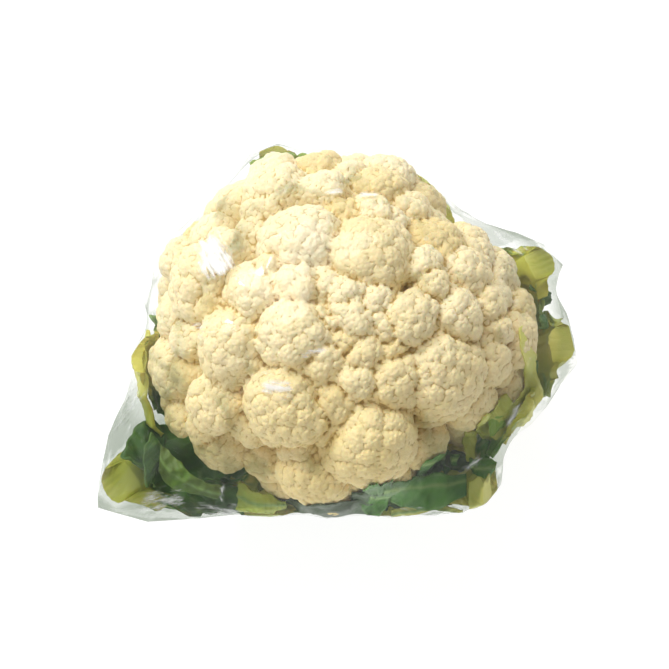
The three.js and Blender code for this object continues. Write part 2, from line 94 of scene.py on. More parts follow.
HEAD_SINKS, HEAD_UNEVEN = 0.7, 0.3  # how much of that is sunk in, and how much the heads vary
HEAD_SHARE = 0.3  # of the points, how many may carry a head
BUDS_APART = 2.6
BUD_HEIGHT = 0.5
BUD_SINKS, BUD_UNEVEN = 0.6, 0.2
GRID = 0.55  # the curd's mesh is this fine
NEAR = 5  # how many neighbours shape each point
CREASE_PASSES, CREASE_DEEP = 8, 0.22  # between buds: how wide it is looked for, and its full depth
HOLLOW_PASSES, HOLLOW_DEEP = 50, 2.2  # between heads and florets
CREAM, PALE_CREAM = (0.90, 0.76, 0.45, 1), (0.94, 0.82, 0.54, 1)
# The yellower cream for the lower front is painted shade.
LOW_SHADE_CREAM, WARM_CREAM = (0.90, 0.72, 0.325, 1), (0.84, 0.68, 0.34, 1)
# The tan for the creases and the brown for the hollows are painted shade.
CREASE_SHADE_TAN, HOLLOW_SHADE_BROWN = (0.60, 0.43, 0.16, 1), (0.42, 0.22, 0.06, 1)


def ease(x, low, high):
    t = np.clip((x - low) / (high - low), 0, 1)
    return t * t * (3 - 2 * t)


def unit(v):
    return v / np.linalg.norm(v, axis=-1, keepdims=True)


def draw_from(seed):
    """The part's own seeded draw, so that the hidden florets stand where its solids have them."""
    state = seed
    while True:
        state = (state * 1664525 + 1013904223) % 4294967296
        yield state / 4294967296


def rim_radius(angle):
    degrees = np.degrees(angle) % 360
    after = np.clip(np.searchsorted(RIM[:, 0], degrees, side="right"), 1, len(RIM) - 1)
    (start, low), (end, high) = RIM[after - 1].T, RIM[after].T
    return low + (high - low) * ease(degrees, start, end)


def dome_radius(dirs):
    level = np.hypot(dirs[:, 0], dirs[:, 1])
    rise = np.where(dirs[:, 2] > 0, DOME_RISE, DOME_DROP)
    return 1 / np.hypot(level / rim_radius(np.arctan2(dirs[:, 1], dirs[:, 0])), dirs[:, 2] / rise)


def under_radius(dirs):
    down = np.maximum(-dirs[:, 2], 1e-9)
    level = np.hypot(dirs[:, 0], dirs[:, 1])
    drop = HEART[2] - UNDER_Z
    cone = (drop + UNDER_SLOPE * STEM_RADIUS) / (UNDER_SLOPE * level + down)
    return np.where(dirs[:, 2] >= 0, np.inf, np.minimum(drop / down, cone))


def on_dome(across, up):
    """The point of the dome that the front shows this far right and up."""
    depth = np.arange(90, -30, -0.5)
    shrink = 1.0
    while True:
        y = up * shrink * math.cos(FRONT_LEAN) - depth * math.sin(FRONT_LEAN)
        z = up * shrink * math.sin(FRONT_LEAN) + depth * math.cos(FRONT_LEAN)
        points = np.stack([np.full_like(depth, across * shrink), y, z], 1)
        inside = np.linalg.norm(points, axis=1) <= dome_radius(unit(points))
        if inside.any():
            return points[inside.argmax()]
        shrink *= 0.98


def spiral(count):
    k = np.arange(count)
    z = 1 - (2 * k + 1) / count
    turn = k * math.pi * (3 - math.sqrt(5))
    level = np.sqrt(1 - z * z)
    return np.stack([level * np.cos(turn), level * np.sin(turn), z], 1)


def floret_balls():
    """Each floret is a ball that stands out of the dome: the middle, and the radius."""
    tips, middles, radii = [], [], []

    def add(tip, radius, out):
        length = np.linalg.norm(tip)
        tips.append(tip)
        middles.append(tip / length * (length - BALL_SUNK * radius + out))
        radii.append(radius)

    for across, up, radius, out in FLORETS:
        add(on_dome(across, up), radius * BALL_WIDER, out)
    draw = draw_from(3)
    dirs = spiral(SPREAD)
    dirs = dirs[np.arccos(dirs[:, 2]) <= FLORETS_TO]
    places = dirs * dome_radius(dirs)[:, None]
    for room, radius, out in FILLERS:
        for tip in places:
            free = np.linalg.norm(np.array(tips) - tip, axis=1) - np.array(radii) * BALL_KEEPS
            if free.min() > room:
                add(tip, radius * (0.85 + 0.3 * next(draw)), out + 2 * next(draw) - 1)
    return np.array(middles), np.array(radii)


middles, radii = floret_balls()


def floret_surface(dirs, groove=0.0):
    """Distance from the heart to the florets, and which floret it is there."""
    best = dome_radius(dirs) - FLOOR_DEPTH
    second = best - 10
    owner = np.full(len(dirs), CORE)
    for i, (middle, radius) in enumerate(zip(middles, radii)):
        along = dirs @ middle
        aside = np.sqrt(np.maximum(middle @ middle - along ** 2, 0)) / radius
        far = along + radius * np.maximum(1 - aside ** SQUARE, 0) ** (1 / SQUARE)
        near = (along > 0) & (aside < 1)
        better = near & (far > best)
        second = np.where(better, best, np.where(near, np.maximum(far, second), second))
        best[better] = far[better]
        owner[better] = i
    best = best - groove * np.exp(-(best - second) / GROOVE_WIDE)
    under = under_radius(dirs)
    owner[under < best] = UNDERSIDE
    return np.minimum(best, under), owner


def swayed(dirs):
    """The directions bent a little, so that no floret is quite round."""
    bent = dirs.copy()
    for k, wave in enumerate(SWAY_WAVES):
        turn = dirs[:, [1, 2, 0]] * wave + np.array([1.3, 4.1, 2.2]) * (k + 1)
        bent = bent + SWAY / (k + 1) * np.sin(turn + 1.7 * np.sin(dirs[:, [2, 0, 1]] * wave * 0.7))
    return unit(bent)


def scatter(points, room, seed):
    """Picks points that stand at least their room apart, in a seeded order."""
    order = np.random.default_rng(seed).permutation(len(points))
    cell = float(room.max())
    cells = np.floor(points / cell).astype(int)
    around = [(x, y, z) for x in (-1, 0, 1) for y in (-1, 0, 1) for z in (-1, 0, 1)]
    kept, grid = [], {}
    for i in order:
        a, b, c = cells[i]
        p, need = points[i], room[i] ** 2
        near = [j for x, y, z in around for j in grid.get((a + x, b + y, c + z), ())]
        if near and ((points[near] - p) ** 2).sum(1).min() < need:
            continue
        grid.setdefault((a, b, c), []).append(i)
        kept.append(i)
    return np.array(kept)


def swelling(points, seeds, weight):
    """Splits the surface into one cell for each seed. Gives how far each point is from its cell's edge, as
    0 on the edge and 1 in the middle, and which cell it is in."""
    tree = kdtree.KDTree(len(seeds))
    for i, seed in enumerate(seeds):
        tree.insert(seed, i)
    tree.balance()
    found = [tree.find_n(p, NEAR) for p in points]
    which = np.array([[f[1] for f in near] for near in found])
    far = np.array([[f[2] for f in near] for near in found]) / weight[which]
    rank = far.argsort(1)
    row = np.arange(len(points))
    first, second = far[row, rank[:, 0]], far[row, rank[:, 1]]
    return (second - first) / (second + first), which[row, rank[:, 0]]


def rounded(inward):
    return np.sqrt(1 - (1 - inward) ** 2)


def mesh_from(name, points, faces):
    mesh = bpy.data.meshes.new(name)
    mesh.from_pydata((points * MM).tolist(), [], faces)
    mesh.update()
    return mesh


def shown(name, mesh):
    piece = bpy.data.objects.new(name, mesh)
    bpy.context.scene.collection.objects.link(piece)
    return piece


def places_of(mesh):
    flat = np.zeros(3 * len(mesh.vertices))
    mesh.vertices.foreach_get("co", flat)
    return flat.reshape(-1, 3) / MM


def place(mesh, points):
    mesh.vertices.foreach_set("co", (points * MM).ravel())
    mesh.update()


def normals_of(mesh):
    flat = np.zeros(3 * len(mesh.vertices))
    mesh.vertex_normals.foreach_get("vector", flat)
    return flat.reshape(-1, 3)


def neighbours_of(mesh):
    """The two ends of every edge, and what gives the middle of each point's neighbours."""
    ends = np.zeros(2 * len(mesh.edges), int)
    mesh.edges.foreach_get("vertices", ends)
    a, b = ends.reshape(-1, 2).T
    n = len(mesh.vertices)
    count = np.bincount(a, minlength=n) + np.bincount(b, minlength=n)

    def middle(points):
        total = [np.bincount(a, p[b], n) + np.bincount(b, p[a], n) for p in points.T]
        return np.array(total).T / count[:, None]

    return a, b, middle


def relaxed(mesh, points, passes):
    """The points drawn halfway to the middle of their neighbours, pass after pass."""
    middle = neighbours_of(mesh)[2]
    for _ in range(passes):
        points = points + 0.5 * (middle(points) - points)
    return points


def remeshed(piece, grid):
    """The piece's surface rebuilt in even squares, without what lies inside it."""
    remesh = piece.modifiers.new("even", "REMESH")
    remesh.mode = "VOXEL"
    remesh.voxel_size = grid * MM
    ready = piece.evaluated_get(bpy.context.evaluated_depsgraph_get())
    mesh = bpy.data.meshes.new_from_object(ready)
    piece.modifiers.clear()
    piece.data = mesh
    return mesh


def give(mesh, name, values):
    mesh.attributes.new(name, "FLOAT", "POINT").data.foreach_set("value", values.astype(np.float32))


bpy.ops.mesh.primitive_ico_sphere_add(subdivisions=BALL_LEVELS, radius=MM)
curd = bpy.context.object
curd.name = "curd_florets"
dirs = unit(places_of(curd.data))
reach, owner = floret_surface(swayed(dirs), GROOVE)
reach = np.minimum(reach, under_radius(dirs))
place(curd.data, dirs * reach[:, None] + HEART)

# The small heads of each floret, each a little larger or smaller.
points = places_of(curd.data)
place(curd.data, relaxed(curd.data, points, 4))
normals = normals_of(curd.data)
draw = np.random.default_rng(21)
size = 0.75 + 0.5 * draw.random(len(middles) + 2)[owner]
flesh = owner != UNDERSIDE
some = np.flatnonzero(flesh & (draw.random(len(points)) < HEAD_SHARE))
heads = some[scatter(points[some], HEADS_APART * size[some], 5)]
inward, head = swelling(points, points[heads], 0.8 + 0.4 * draw.random(len(heads)))
height = HEAD_HEIGHT * size * (rounded(inward) - HEAD_SINKS + HEAD_UNEVEN * draw.random(len(heads))[head])
place(curd.data, points + normals * (height * flesh)[:, None])
mesh = remeshed(curd, GRID)

# The buds of each head.
points = relaxed(mesh, places_of(mesh), 2)
place(mesh, relaxed(mesh, points, 3))
normals = normals_of(mesh)
floret_here = floret_surface(swayed(unit(points - HEART)))[1]
flesh = floret_here != UNDERSIDE
tight = 0.82 + 0.36 * draw.random(len(middles) + 2)[floret_here]
some = np.flatnonzero(flesh)
buds = some[scatter(points[some], BUDS_APART * tight[some], 8)]
inward, bud = swelling(points, points[buds], 0.88 + 0.24 * draw.random(len(buds)))
height = BUD_HEIGHT * tight * (rounded(inward) - BUD_SINKS + BUD_UNEVEN * draw.random(len(buds))[bud])
points = points + normals * (height * flesh)[:, None]
place(mesh, points)

# How deep in a crease each point lies, between two buds, two heads and two florets. The finish
# paints shade by these depths: tan in the creases, brown in the hollows.
normals = normals_of(mesh)
bared = relaxed(mesh, points, CREASE_PASSES)
shallow = ((bared - points) * normals).sum(1)
bared = relaxed(mesh, bared, HOLLOW_PASSES)
deep = ((bared - points) * normals).sum(1)
give(mesh, "crease", np.clip(shallow / CREASE_DEEP, -1, 1) * 0.5 + 0.5)
give(mesh, "hollow", np.clip(deep / HOLLOW_DEEP, -1, 1) * 0.5 + 0.5)
give(mesh, "floret", (floret_here * 0.618) % 1)
for polygon in mesh.polygons:
    polygon.use_smooth = True


def finish_of(name):
    """A new material, with its node tree, its shader, and a maker of further nodes."""
    material = bpy.data.materials.new(name)
    material.use_nodes = True
    tree = material.node_tree

    def node(kind, values=(), **settings):
        made = tree.nodes.new(kind)
        for key, value in settings.items():
            setattr(made, key, value)
        for socket, value in dict(values).items():
            if isinstance(value, bpy.types.NodeSocket):
                tree.links.new(value, made.inputs[socket])
            else:
                made.inputs[socket].default_value = value
        return made

    return material, tree, tree.nodes["Principled BSDF"], node


def mixed(node, share, first, second):
    made = node("ShaderNodeMix", data_type="RGBA")
    for socket, value in ((0, share), (6, first), (7, second)):
        if isinstance(value, bpy.types.NodeSocket):
            made.id_data.links.new(value, made.inputs[socket])
        else:
            made.inputs[socket].default_value = value
    return made.outputs[2]


def spread_over(node, value, low, high):
    made = node("ShaderNodeMapRange", {"Value": value, "From Min": low, "From Max": high})
    made.interpolation_type = "SMOOTHSTEP"
    return made.outputs["Result"]


def attribute(node, name):
    return node("ShaderNodeAttribute", attribute_name=name).outputs["Fac"]


def noise(node, vector, scale, detail, roughness=0.5, **settings):
    inputs = {"Vector": vector, "Scale": scale, "Detail": detail, "Roughness": roughness}
    return node("ShaderNodeTexNoise", inputs, **settings).outputs["Fac"]


def stretched_by(node, vector, factors):
    return node("ShaderNodeVectorMath", {0: vector, 1: factors}, operation="MULTIPLY").outputs["Vector"]


def bumped(tree, node, shader, height, strength, distance):
    bump = node("ShaderNodeBump", {"Height": height, "Strength": strength, "Distance": distance})
    tree.links.new(bump.outputs["Normal"], shader.inputs["Normal"])
    return bump


def settle(shader, values):
    for socket, value in values.items():
        shader.inputs[socket].default_value = value


material, tree, skin, node = finish_of("curd_flesh")
where = node("ShaderNodeTexCoord").outputs["Object"]
patches = noise(node, where, 28.0, 2.0)
lean = {0: where, 1: (0, math.cos(FRONT_LEAN), math.sin(FRONT_LEAN))}
front_up = node("ShaderNodeVectorMath", lean, operation="DOT_PRODUCT").outputs["Value"]
cream = mixed(node, spread_over(node, patches, 0.35, 0.65), CREAM, PALE_CREAM)
# Low on the front the cream turns yellower: painted shade.
cream = mixed(node, spread_over(node, front_up, 0.05, -0.07), cream, LOW_SHADE_CREAM)
cream = mixed(node, spread_over(node, attribute(node, "floret"), 0.6, 1.0), cream, WARM_CREAM)
# Tan in the creases and brown in the hollows are painted shade, strongest where the surface lies deepest.
cream_with_crease_shade = mixed(node, spread_over(node, attribute(node, "crease"), 0.56, 0.95), cream, CREASE_SHADE_TAN)
cream_with_crease_shade = mixed(node, spread_over(node, attribute(node, "hollow"), 0.6, 1.0), cream_with_crease_shade, HOLLOW_SHADE_BROWN)
tree.links.new(cream_with_crease_shade, skin.inputs["Base Color"])
settle(skin, {"Roughness": 0.62, "Specular IOR Level": 0.3, "Subsurface Weight": 0.25})
settle(skin, {"Subsurface Radius": (1.0, 0.62, 0.3), "Subsurface Scale": 0.0012})
grain = node("ShaderNodeTexVoronoi", {"Vector": where, "Scale": 780.0}, feature="SMOOTH_F1")
bumped(tree, node, skin, grain.outputs["Distance"], 0.7, 0.0006).invert = True
mesh.materials.clear()
mesh.materials.append(material)
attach(curd, "root")
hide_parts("curd")


# The stem, cut off square with a knife. Firm pale green flesh with a ring of darker strings under
# the skin, browned a little at the cut, and scars round it where the lowest leaves were snapped off.
STEM_PROFILE = [
    (25, 0), (26.3, 0.3), (27, 1.2), (28, 5), (27.5, 16), (25.5, 19), (25.5, 27), (24, 31), (0, 31),
]
STEM_SIDES = 120
STEM_STEPS = 6
SCAR_HEIGHT, SCAR_DEEP, SCAR_WIDE = 9, 0.7, 1.1
STEM_PITH, STEM_SKIN = (0.72, 0.74, 0.42, 1), (0.50, 0.58, 0.22, 1)
STRING_PALE, CUT_BROWN = (0.80, 0.80, 0.52, 1), (0.52, 0.38, 0.16, 1)


def stem_mesh():
    profile = []
    for (r0, z0), (r1, z1) in zip(STEM_PROFILE, STEM_PROFILE[1:]):
        steps = np.arange(STEM_STEPS) / STEM_STEPS
        profile += [(r0 + (r1 - r0) * t, z0 + (z1 - z0) * t) for t in steps]
    face = [(r, 0.0) for r in np.linspace(2.5, 25, 10)[:-1]]
    profile = np.array(face + profile)
    turn = np.arange(STEM_SIDES) * 2 * math.pi / STEM_SIDES
    side = np.clip((profile[:, 1] - 0.5) / 4, 0, 1)[:, None]
    swell = 1 + side * (0.012 * np.sin(5 * turn + 1.3) + 0.008 * np.sin(13 * turn + 0.4))
    from_scar = profile[:, 1:] - SCAR_HEIGHT - 3 * np.sin(2 * turn)
    scars = side * SCAR_DEEP * np.exp(-(from_scar / SCAR_WIDE) ** 2)
    r = profile[:, :1] * np.minimum(swell, 1.0) - scars
    z = np.broadcast_to(profile[:, 1:], r.shape)
    points = np.stack([r * np.cos(turn), r * np.sin(turn), z], 2).reshape(-1, 3)
    rows, n = len(profile), STEM_SIDES
    faces = []
    for i in range(rows - 1):
        for j, after in zip(range(n), [*range(1, n), 0]):
            faces.append((i * n + j, i * n + after, (i + 1) * n + after, (i + 1) * n + j))
    faces.append(tuple(range(n))[::-1])
    faces.append(tuple(range((rows - 1) * n, rows * n)))
    return mesh_from("stem_stump", points, faces)


mesh = stem_mesh()
stem = shown("stem_stump", mesh)
for polygon in mesh.polygons:
    polygon.use_smooth = polygon.normal.z > -0.9
material, tree, skin, node = finish_of("stem_flesh")
where = node("ShaderNodeTexCoord").outputs["Object"]
across = stretched_by(node, where, (1, 1, 0))
from_axis = node("ShaderNodeVectorMath", {0: across}, operation="LENGTH").outputs["Value"]
strings = node("ShaderNodeTexVoronoi", {"Vector": across, "Scale": 520.0}).outputs["Distance"]
ring = spread_over(node, from_axis, 0.0195, 0.0215)
flesh_colour = mixed(node, ring, STEM_PITH, STEM_SKIN)
dots = mixed(node, spread_over(node, strings, 0.12, 0.3), STRING_PALE, flesh_colour)
blotches = noise(node, where, 90.0, 4.0)
stained = mixed(node, spread_over(node, blotches, 0.56, 0.75), dots, CUT_BROWN)
tree.links.new(stained, skin.inputs["Base Color"])
settle(skin, {"Roughness": 0.5, "Subsurface Weight": 0.15, "Subsurface Scale": 0.0015})
fibres = noise(node, stretched_by(node, where, (1, 1, 0.15)), 700.0, 3.0)
bumped(tree, node, skin, fibres, 0.5, 0.0004)
mesh.materials.append(material)
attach(stem, "root")
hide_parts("stem")


# The trimmed leaves. Each is a thick pale petiole that leaves the stem, runs out under the curd and
# turns up beside it, with what the knife left of its blade on both sides: pale and ribbed near the
# petiole, dark green and waved at the edge. The cut across the end is bare yellow-green flesh.
LEAVES = [
    # name, ring, compass angle, how far out and how high the cut is, petiole's width and its thickness at
    # the cut, blade left on the side of rising angles and on the other, how dark the blade is, and how
    # dark the petiole: below 0 it is lime green, up to its end; darkness past 1 is painted shade
    ("leaf_right", "outer", 357, 90, 66, 22, 9, 9, 10, 0.1, 0.1),
    ("leaf_back", "outer", 111, 79, 62, 19, 6, 12, 12, 0.7, 0.3),
    ("leaf_upper_left", "outer", 152, 82, 44, 20, 8, 14, 14, 0.8, 0.3),
    ("leaf_lower_left", "outer", 213, 117, 58, 21, 13, 25, 6, 1.1, 1.2),
    ("leaf_front_right", "outer", 284, 81, 42, 15, 5, 30, 16, 1.0, 1.1),
    ("leaf_upper_right", "inner", 20, 87, 70, 18, 9, 8, 12, 0.2, 0.05),
    ("leaf_back_right", "inner", 53, 62, 58, 16, 4, 10, 8, 0.3, 0.1),
    ("leaf_left", "inner", 188, 81, 70, 15, 4, 12, 16, 0.5, 0.1),
    ("leaf_front", "inner", 243, 82, 50, 20, 11, 12, 14, 1.0, -0.9),
    ("leaf_lower_right", "inner", 310, 88, 54, 19, 13, 10, 14, 1.0, -0.1),
    ("leaf_right_inner", "inner", 335, 81, 74, 14, 4, 18, 16, 0.4, 0.2),
]
TORN = [
    # what the knife left of the blades, folded and torn, as it is seen from the front: the leaf, how dark
    # it is (lime green below 0, painted shade above 1, as on the low pieces set behind), how far it ruffles,
    # where its pale rib runs across it (0 for none), and its two long edges,
    # each as places: how far right and up from the heart, and how high over the table
    ("leaf_lower_left", 0.95, 1.2, 0,
     [(-82, -37, 56), (-89, -40, 60), (-94, -46, 64), (-97, -52, 67), (-91, -54, 67), (-87, -57, 66),
      (-85, -64, 62)],
     [(-79, -46, 52), (-78, -51, 52), (-79, -55, 54), (-81, -60, 56), (-82, -62, 58), (-83, -64, 60),
      (-84, -65, 60)]),
    ("leaf_lower_left", 0.85, 0.5, 0,
     [(-83, -43, 66), (-87, -51, 68), (-87, -58, 68), (-85, -66, 66)],
     [(-83, -43, 64), (-80, -48, 63), (-81, -56, 64), (-85, -66, 64)]),
    ("leaf_lower_left", 0.62, 0.9, 0.5,
     [(-80, -47, 66), (-76, -52, 66), (-70, -58, 65), (-62, -63, 62), (-54, -66, 58)],
     [(-81, -60, 64), (-77, -65, 62), (-71, -68, 60), (-64, -70, 58), (-56, -71, 56)]),
    ("leaf_lower_left", 1.2, 1.6, 0,
     [(-84, -68, 50), (-76, -67, 48), (-67, -65, 46), (-58, -63, 46), (-43, -66, 46)],
     [(-84, -73, 48), (-78, -75, 46), (-68, -77, 44), (-58, -79, 44), (-40, -80, 42)]),
    ("leaf_front", 0.8, 1.0, 0,
     [(-65, -64, 38), (-60, -62, 39), (-54, -63, 38), (-50, -65, 37)],
     [(-65, -71, 32), (-60, -72, 31), (-55, -71, 32), (-50, -70, 32)]),
    ("leaf_front", 0.3, 0.8, 0,
     [(-51, -62, 40), (-48, -63, 41), (-45, -65, 40)],
     [(-51, -67, 38), (-48, -68, 38), (-45, -68, 38)]),
    ("leaf_front", 1.3, 1.2, 0,
     [(-51, -70, 44), (-37, -69, 44), (-21, -71, 44), (-4, -71, 44), (10, -70, 44)],
     [(-53, -79, 40), (-37, -80, 40), (-21, -80, 40), (-4, -80, 40), (10, -80, 40)]),
    ("leaf_front_right", 1.25, 1.4, 0,
     [(1, -67, 46), (17, -67, 46), (34, -66, 46), (52, -64, 46)],
     [(0, -80, 40), (17, -80, 40), (34, -80, 40), (52, -80, 40)]),
    ("leaf_front_right", 0.9, 1.0, 0.45,
     [(6, -65, 54), (9, -63, 55), (13, -62, 56), (18, -62, 56)],
     [(4, -71, 50), (7, -77, 48), (11, -80, 47), (16, -76, 48)]),
    ("leaf_front_right", 1.05, 0.9, 0.3,
     [(15, -64, 58), (22, -62, 60), (32, -61, 60), (42, -61, 60), (50, -60, 60)],
     [(14, -71, 52), (23, -75, 52), (32, -76, 52), (41, -74, 54), (50, -70, 56)]),
    ("leaf_front_right", 0.1, 0.4, 0.5,
     [(18, -76, 46), (27, -74, 48), (36, -73, 50), (43, -75, 50), (49, -77, 49)],
     [(18, -79, 43), (28, -78, 45), (36, -77, 47), (43, -78, 47), (50, -79, 46)]),
    ("leaf_lower_right", 0.9, 1.3, 0.25,
     [(31, -53, 50), (37, -51, 54), (42, -51, 56), (47, -52, 57)],
     [(28, -60, 46), (34, -62, 48), (40, -61, 50), (45, -60, 53)]),
    ("leaf_lower_right", 1.3, 1.2, 0,
     [(41, -51, 55), (45, -51, 56), (51, -53, 57), (54, -55, 57)],
     [(42, -59, 52), (46, -59, 53), (51, -60, 54), (55, -60, 55)]),
    ("leaf_lower_right", 0.85, 1.0, 0.5,
     [(51, -54, 58), (56, -54, 59), (60, -54, 60), (63, -55, 60)],
     [(52, -60, 56), (56, -62, 57), (59, -62, 58), (62, -59, 59)]),
    ("leaf_lower_right", 1.4, 0.8, 0,
     [(31, -59, 46), (37, -60, 47), (43, -60, 48), (48, -60, 49)],
     [(30, -65, 40), (37, -65, 41), (43, -65, 43), (48, -65, 45)]),
    ("leaf_right_inner", -0.1, 0.7, 0,
     [(72, 2, 70), (73, -8, 70), (74, -17, 69), (74, -24, 67), (70, -30, 65), (64, -36, 62), (59, -44, 57)],
     [(74, 3, 66), (78, -8, 66), (81, -18, 65), (83, -26, 63), (79, -33, 61), (72, -40, 58), (67, -48, 53)]),
    ("leaf_right_inner", -0.35, 1.0, 0,
     [(53, -41, 58), (57, -35, 61), (62, -31, 64), (67, -27, 66)],
     [(59, -48, 50), (63, -44, 53), (67, -38, 57), (71, -32, 60)]),
    ("leaf_front", -0.55, 0.9, 0.4,
     [(-47, -64, 58), (-43, -66, 60), (-38, -69, 61), (-33, -70, 59), (-27, -72, 56)],
     [(-48, -78, 52), (-42, -80, 54), (-37, -80, 54), (-32, -78, 53), (-26, -75, 52)]),
    ("leaf_lower_right", -0.05, 0.3, 0,
     [(51, -64, 62), (55, -63, 64), (58, -65, 64), (60, -63, 64), (64, -65, 62)],
     [(51, -76, 52), (55, -79, 52), (58, -80, 52), (61, -78, 53), (64, -73, 54)]),
    ("leaf_right_inner", -0.9, 0.6, 0,
     [(59, -37, 66), (62, -35, 67), (65, -34, 68)], [(60, -45, 62), (63, -43, 63), (67, -40, 64)]),
    ("leaf_lower_right", 0.0, 0.4, 0,
     [(49, -42, 60), (49, -46, 59), (50, -51, 58), (51, -55, 57)],
     [(54, -41, 57), (54, -46, 56), (54, -50, 55), (54, -55, 54)]),
    ("leaf_upper_right", 0.9, 1.2, 0,
     [(77, 20, 62), (80, 18, 62), (82, 15, 60), (84, 11, 58)],
     [(79, 23, 58), (83, 21, 58), (85, 17, 57), (86, 13, 55)]),
    ("leaf_right", 1.0, 0.8, 0,
     [(81, 7, 62), (82, 4, 62), (82, 1, 60)],
     [(84, 8, 58), (85, 5, 58), (85, 2, 57)]),
    ("leaf_back", 0.55, 0.9, 0,
     [(-42, 71, 60), (-37, 74, 62), (-29, 75, 63), (-22, 75, 63), (-15, 74, 62)],
     [(-39, 68, 56), (-34, 70, 57), (-28, 71, 58), (-21, 71, 58), (-16, 69, 57)]),
    ("leaf_back_right", 0.1, 0.8, 0,
     [(27, 63, 72), (33, 60, 72), (37, 56, 71), (40, 51, 68)],
     [(30, 66, 66), (37, 63, 66), (42, 58, 65), (44, 51, 62)]),
    ("leaf_left", -0.15, 0.8, 0,
     [(-85, 1, 64), (-87, -8, 66), (-87, -17, 66), (-86, -26, 64), (-83, -37, 60), (-80, -44, 56)],
     [(-88, 0, 60), (-91, -8, 61), (-91, -18, 61), (-90, -28, 60), (-86, -39, 57), (-80, -45, 54)]),
]
RINGS = {
    # how high the petiole leaves the stem, runs under the curd and turns up, how far it stays clear of the
    # rim, and how thick it is at the root
    "outer": (11, 18, 32, 7, 11),
    "inner": (22.5, 29.5, 41, 3, 8),
}
ROOT_R = 24.0
UNDER_R = 47.0
LAID_ON = 78.4  # seen from the front, no leaf reaches lower than this under the heart
CURD_CLEAR = 1.5
REACH_RING = 0.07  # a leaf keeps clear of the curd this far round it too
CURD_BESIDE = 0.7
LEAST_Z = 4.2
BLADE = 1.3
WAVE = 2.4
LOBE = 0.16
BLADE_STARTS, BLADE_FULL = 0.4, 0.75  # shares of the leaf's length
BLADE_NARROWS, BLADE_NARROW = 0.84, 0.97
LEAF_STEPS = 70
LEAF_ACROSS = 56
TORN_STEPS = 40
TORN_ACROSS = 16
TORN_THICK = 0.6
TORN_CLEAR = 0.9
TORN_WAVES = (20, 12, 7.5, 5)  # the lengths of its folds
RUFFLED = 1.1
EDGE_PALE = 0.45
FILM_ROOM_LEFT = 1.2
RAY = 0.3  # metres
SEEN_FROM = 1200.0  # the photographer's distance
TAUT_PASSES = 12
LAID_ON_CURD = ("leaf_front_right", "leaf_lower_right", "leaf_right_inner", "leaf_left", "leaf_front")
VEINS_APART = 9.0
SLANT_CUT = 0.55  # the knife leaves the upper side of the petiole this much shorter, by its thickness
# The deepest green is painted shade, for the blades and petioles that lie low and behind.
LIME, RIB_GREEN, SHADE_GREEN = (0.26, 0.44, 0.035, 1), (0.30, 0.46, 0.13, 1), (0.03, 0.06, 0.014, 1)
PALE_GREENS = (0.58, 0.59, 0.085, 1), (0.73, 0.70, 0.16, 1)
BLUISH_GREENS = (0.05, 0.13, 0.03, 1), (0.11, 0.24, 0.06, 1)
LIVELY_GREENS = (0.03, 0.17, 0.003, 1), (0.10, 0.33, 0.012, 1)
CUT_GREENS = (0.58, 0.58, 0.085, 1), (0.72, 0.69, 0.165, 1)


def route_at(corners, shares):
    """Points and directions along a smooth line through the corners, at shares of its length."""
    ends = np.vstack([2 * corners[0] - corners[1], corners, 2 * corners[-1] - corners[-2]])
    fine = []
    for a, b, c, d in zip(ends, ends[1:], ends[2:], ends[3:]):
        knots = np.cumsum([0, *(np.linalg.norm(q - p) ** 0.5 for p, q in ((a, b), (b, c), (c, d)))])
        t = np.linspace(knots[1], knots[2], 41)[:-1, None]

        def between(p, q, i, j):
            return (knots[j] - t) / (knots[j] - knots[i]) * p + (t - knots[i]) / (knots[j] - knots[i]) * q

        ab, bc, cd = between(a, b, 0, 1), between(b, c, 1, 2), between(c, d, 2, 3)
        fine.append(between(between(ab, bc, 0, 2), between(bc, cd, 1, 3), 1, 2))
    line = np.vstack([*fine, corners[-1]])
    length = np.concatenate([[0], np.cumsum(np.linalg.norm(np.diff(line, axis=0), axis=1))])
    way = unit(np.gradient(line, length, axis=0))
    at = shares * length[-1]
    points = np.stack([np.interp(at, length, side) for side in line.T], -1)
    ways = np.stack([np.interp(at, length, side) for side in way.T], -1)
    return points, unit(ways), length[-1]


def turned(r, z, turn):
    return np.stack([r * np.cos(turn), r * np.sin(turn), z], -1)


def tree_of(*meshes):
    """A search tree of the faces of some meshes."""
    corners, sides = [], []
    for mesh in meshes:
        first = len(corners)
        corners += [v.co for v in mesh.vertices]
        sides += [[first + k for k in p.vertices] for p in mesh.polygons]
    return BVHTree.FromPolygons(corners, sides)


def reach_of(tree, dirs):
    """How far from the heart each direction leaves the pieces in the tree."""
    heart = Vector(HEART * MM)
    hits = [tree.ray_cast(heart + Vector(way) * RAY, -Vector(way), RAY)[0] for way in dirs]
    return np.array([0 if hit is None else (hit - heart).length / MM for hit in hits])


curd_tree = tree_of(curd.data)
film_tree = tree_of(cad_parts["film_wrap"].data)


def curd_reach(dirs):
    side = unit(np.stack([-dirs[:, 1], dirs[:, 0], np.zeros(len(dirs))], 1)) * REACH_RING
    over = np.cross(dirs, side)
    turns = np.arange(6) * math.pi / 3
    around = [dirs] + [unit(dirs + side * math.cos(t) + over * math.sin(t)) for t in turns]
    return np.max([reach_of(curd_tree, way) for way in around], axis=0) + CURD_BESIDE


def from_heart(points):
    """Each point's direction from the heart, and its distance."""
    seen = points - HEART
    far = np.linalg.norm(seen, axis=1)
    return seen / far[:, None], far


def clear_of_curd(points):
    dirs, far = from_heart(points)
    return dirs * np.maximum(curd_reach(dirs) + CURD_CLEAR - far, 0)[:, None]


def just_clear_of_curd(points):
    dirs, far = from_heart(points)
    return dirs * np.maximum(reach_of(curd_tree, dirs) + TORN_CLEAR - far, 0)[:, None]


def within_film(points):
    """How far each point moves in to stay under the solid film."""
    dirs, far = from_heart(points)
    room = reach_of(film_tree, dirs)
    return dirs * np.where(room > 0, np.minimum(room - FILM_ROOM_LEFT - far, 0), 0)[:, None]


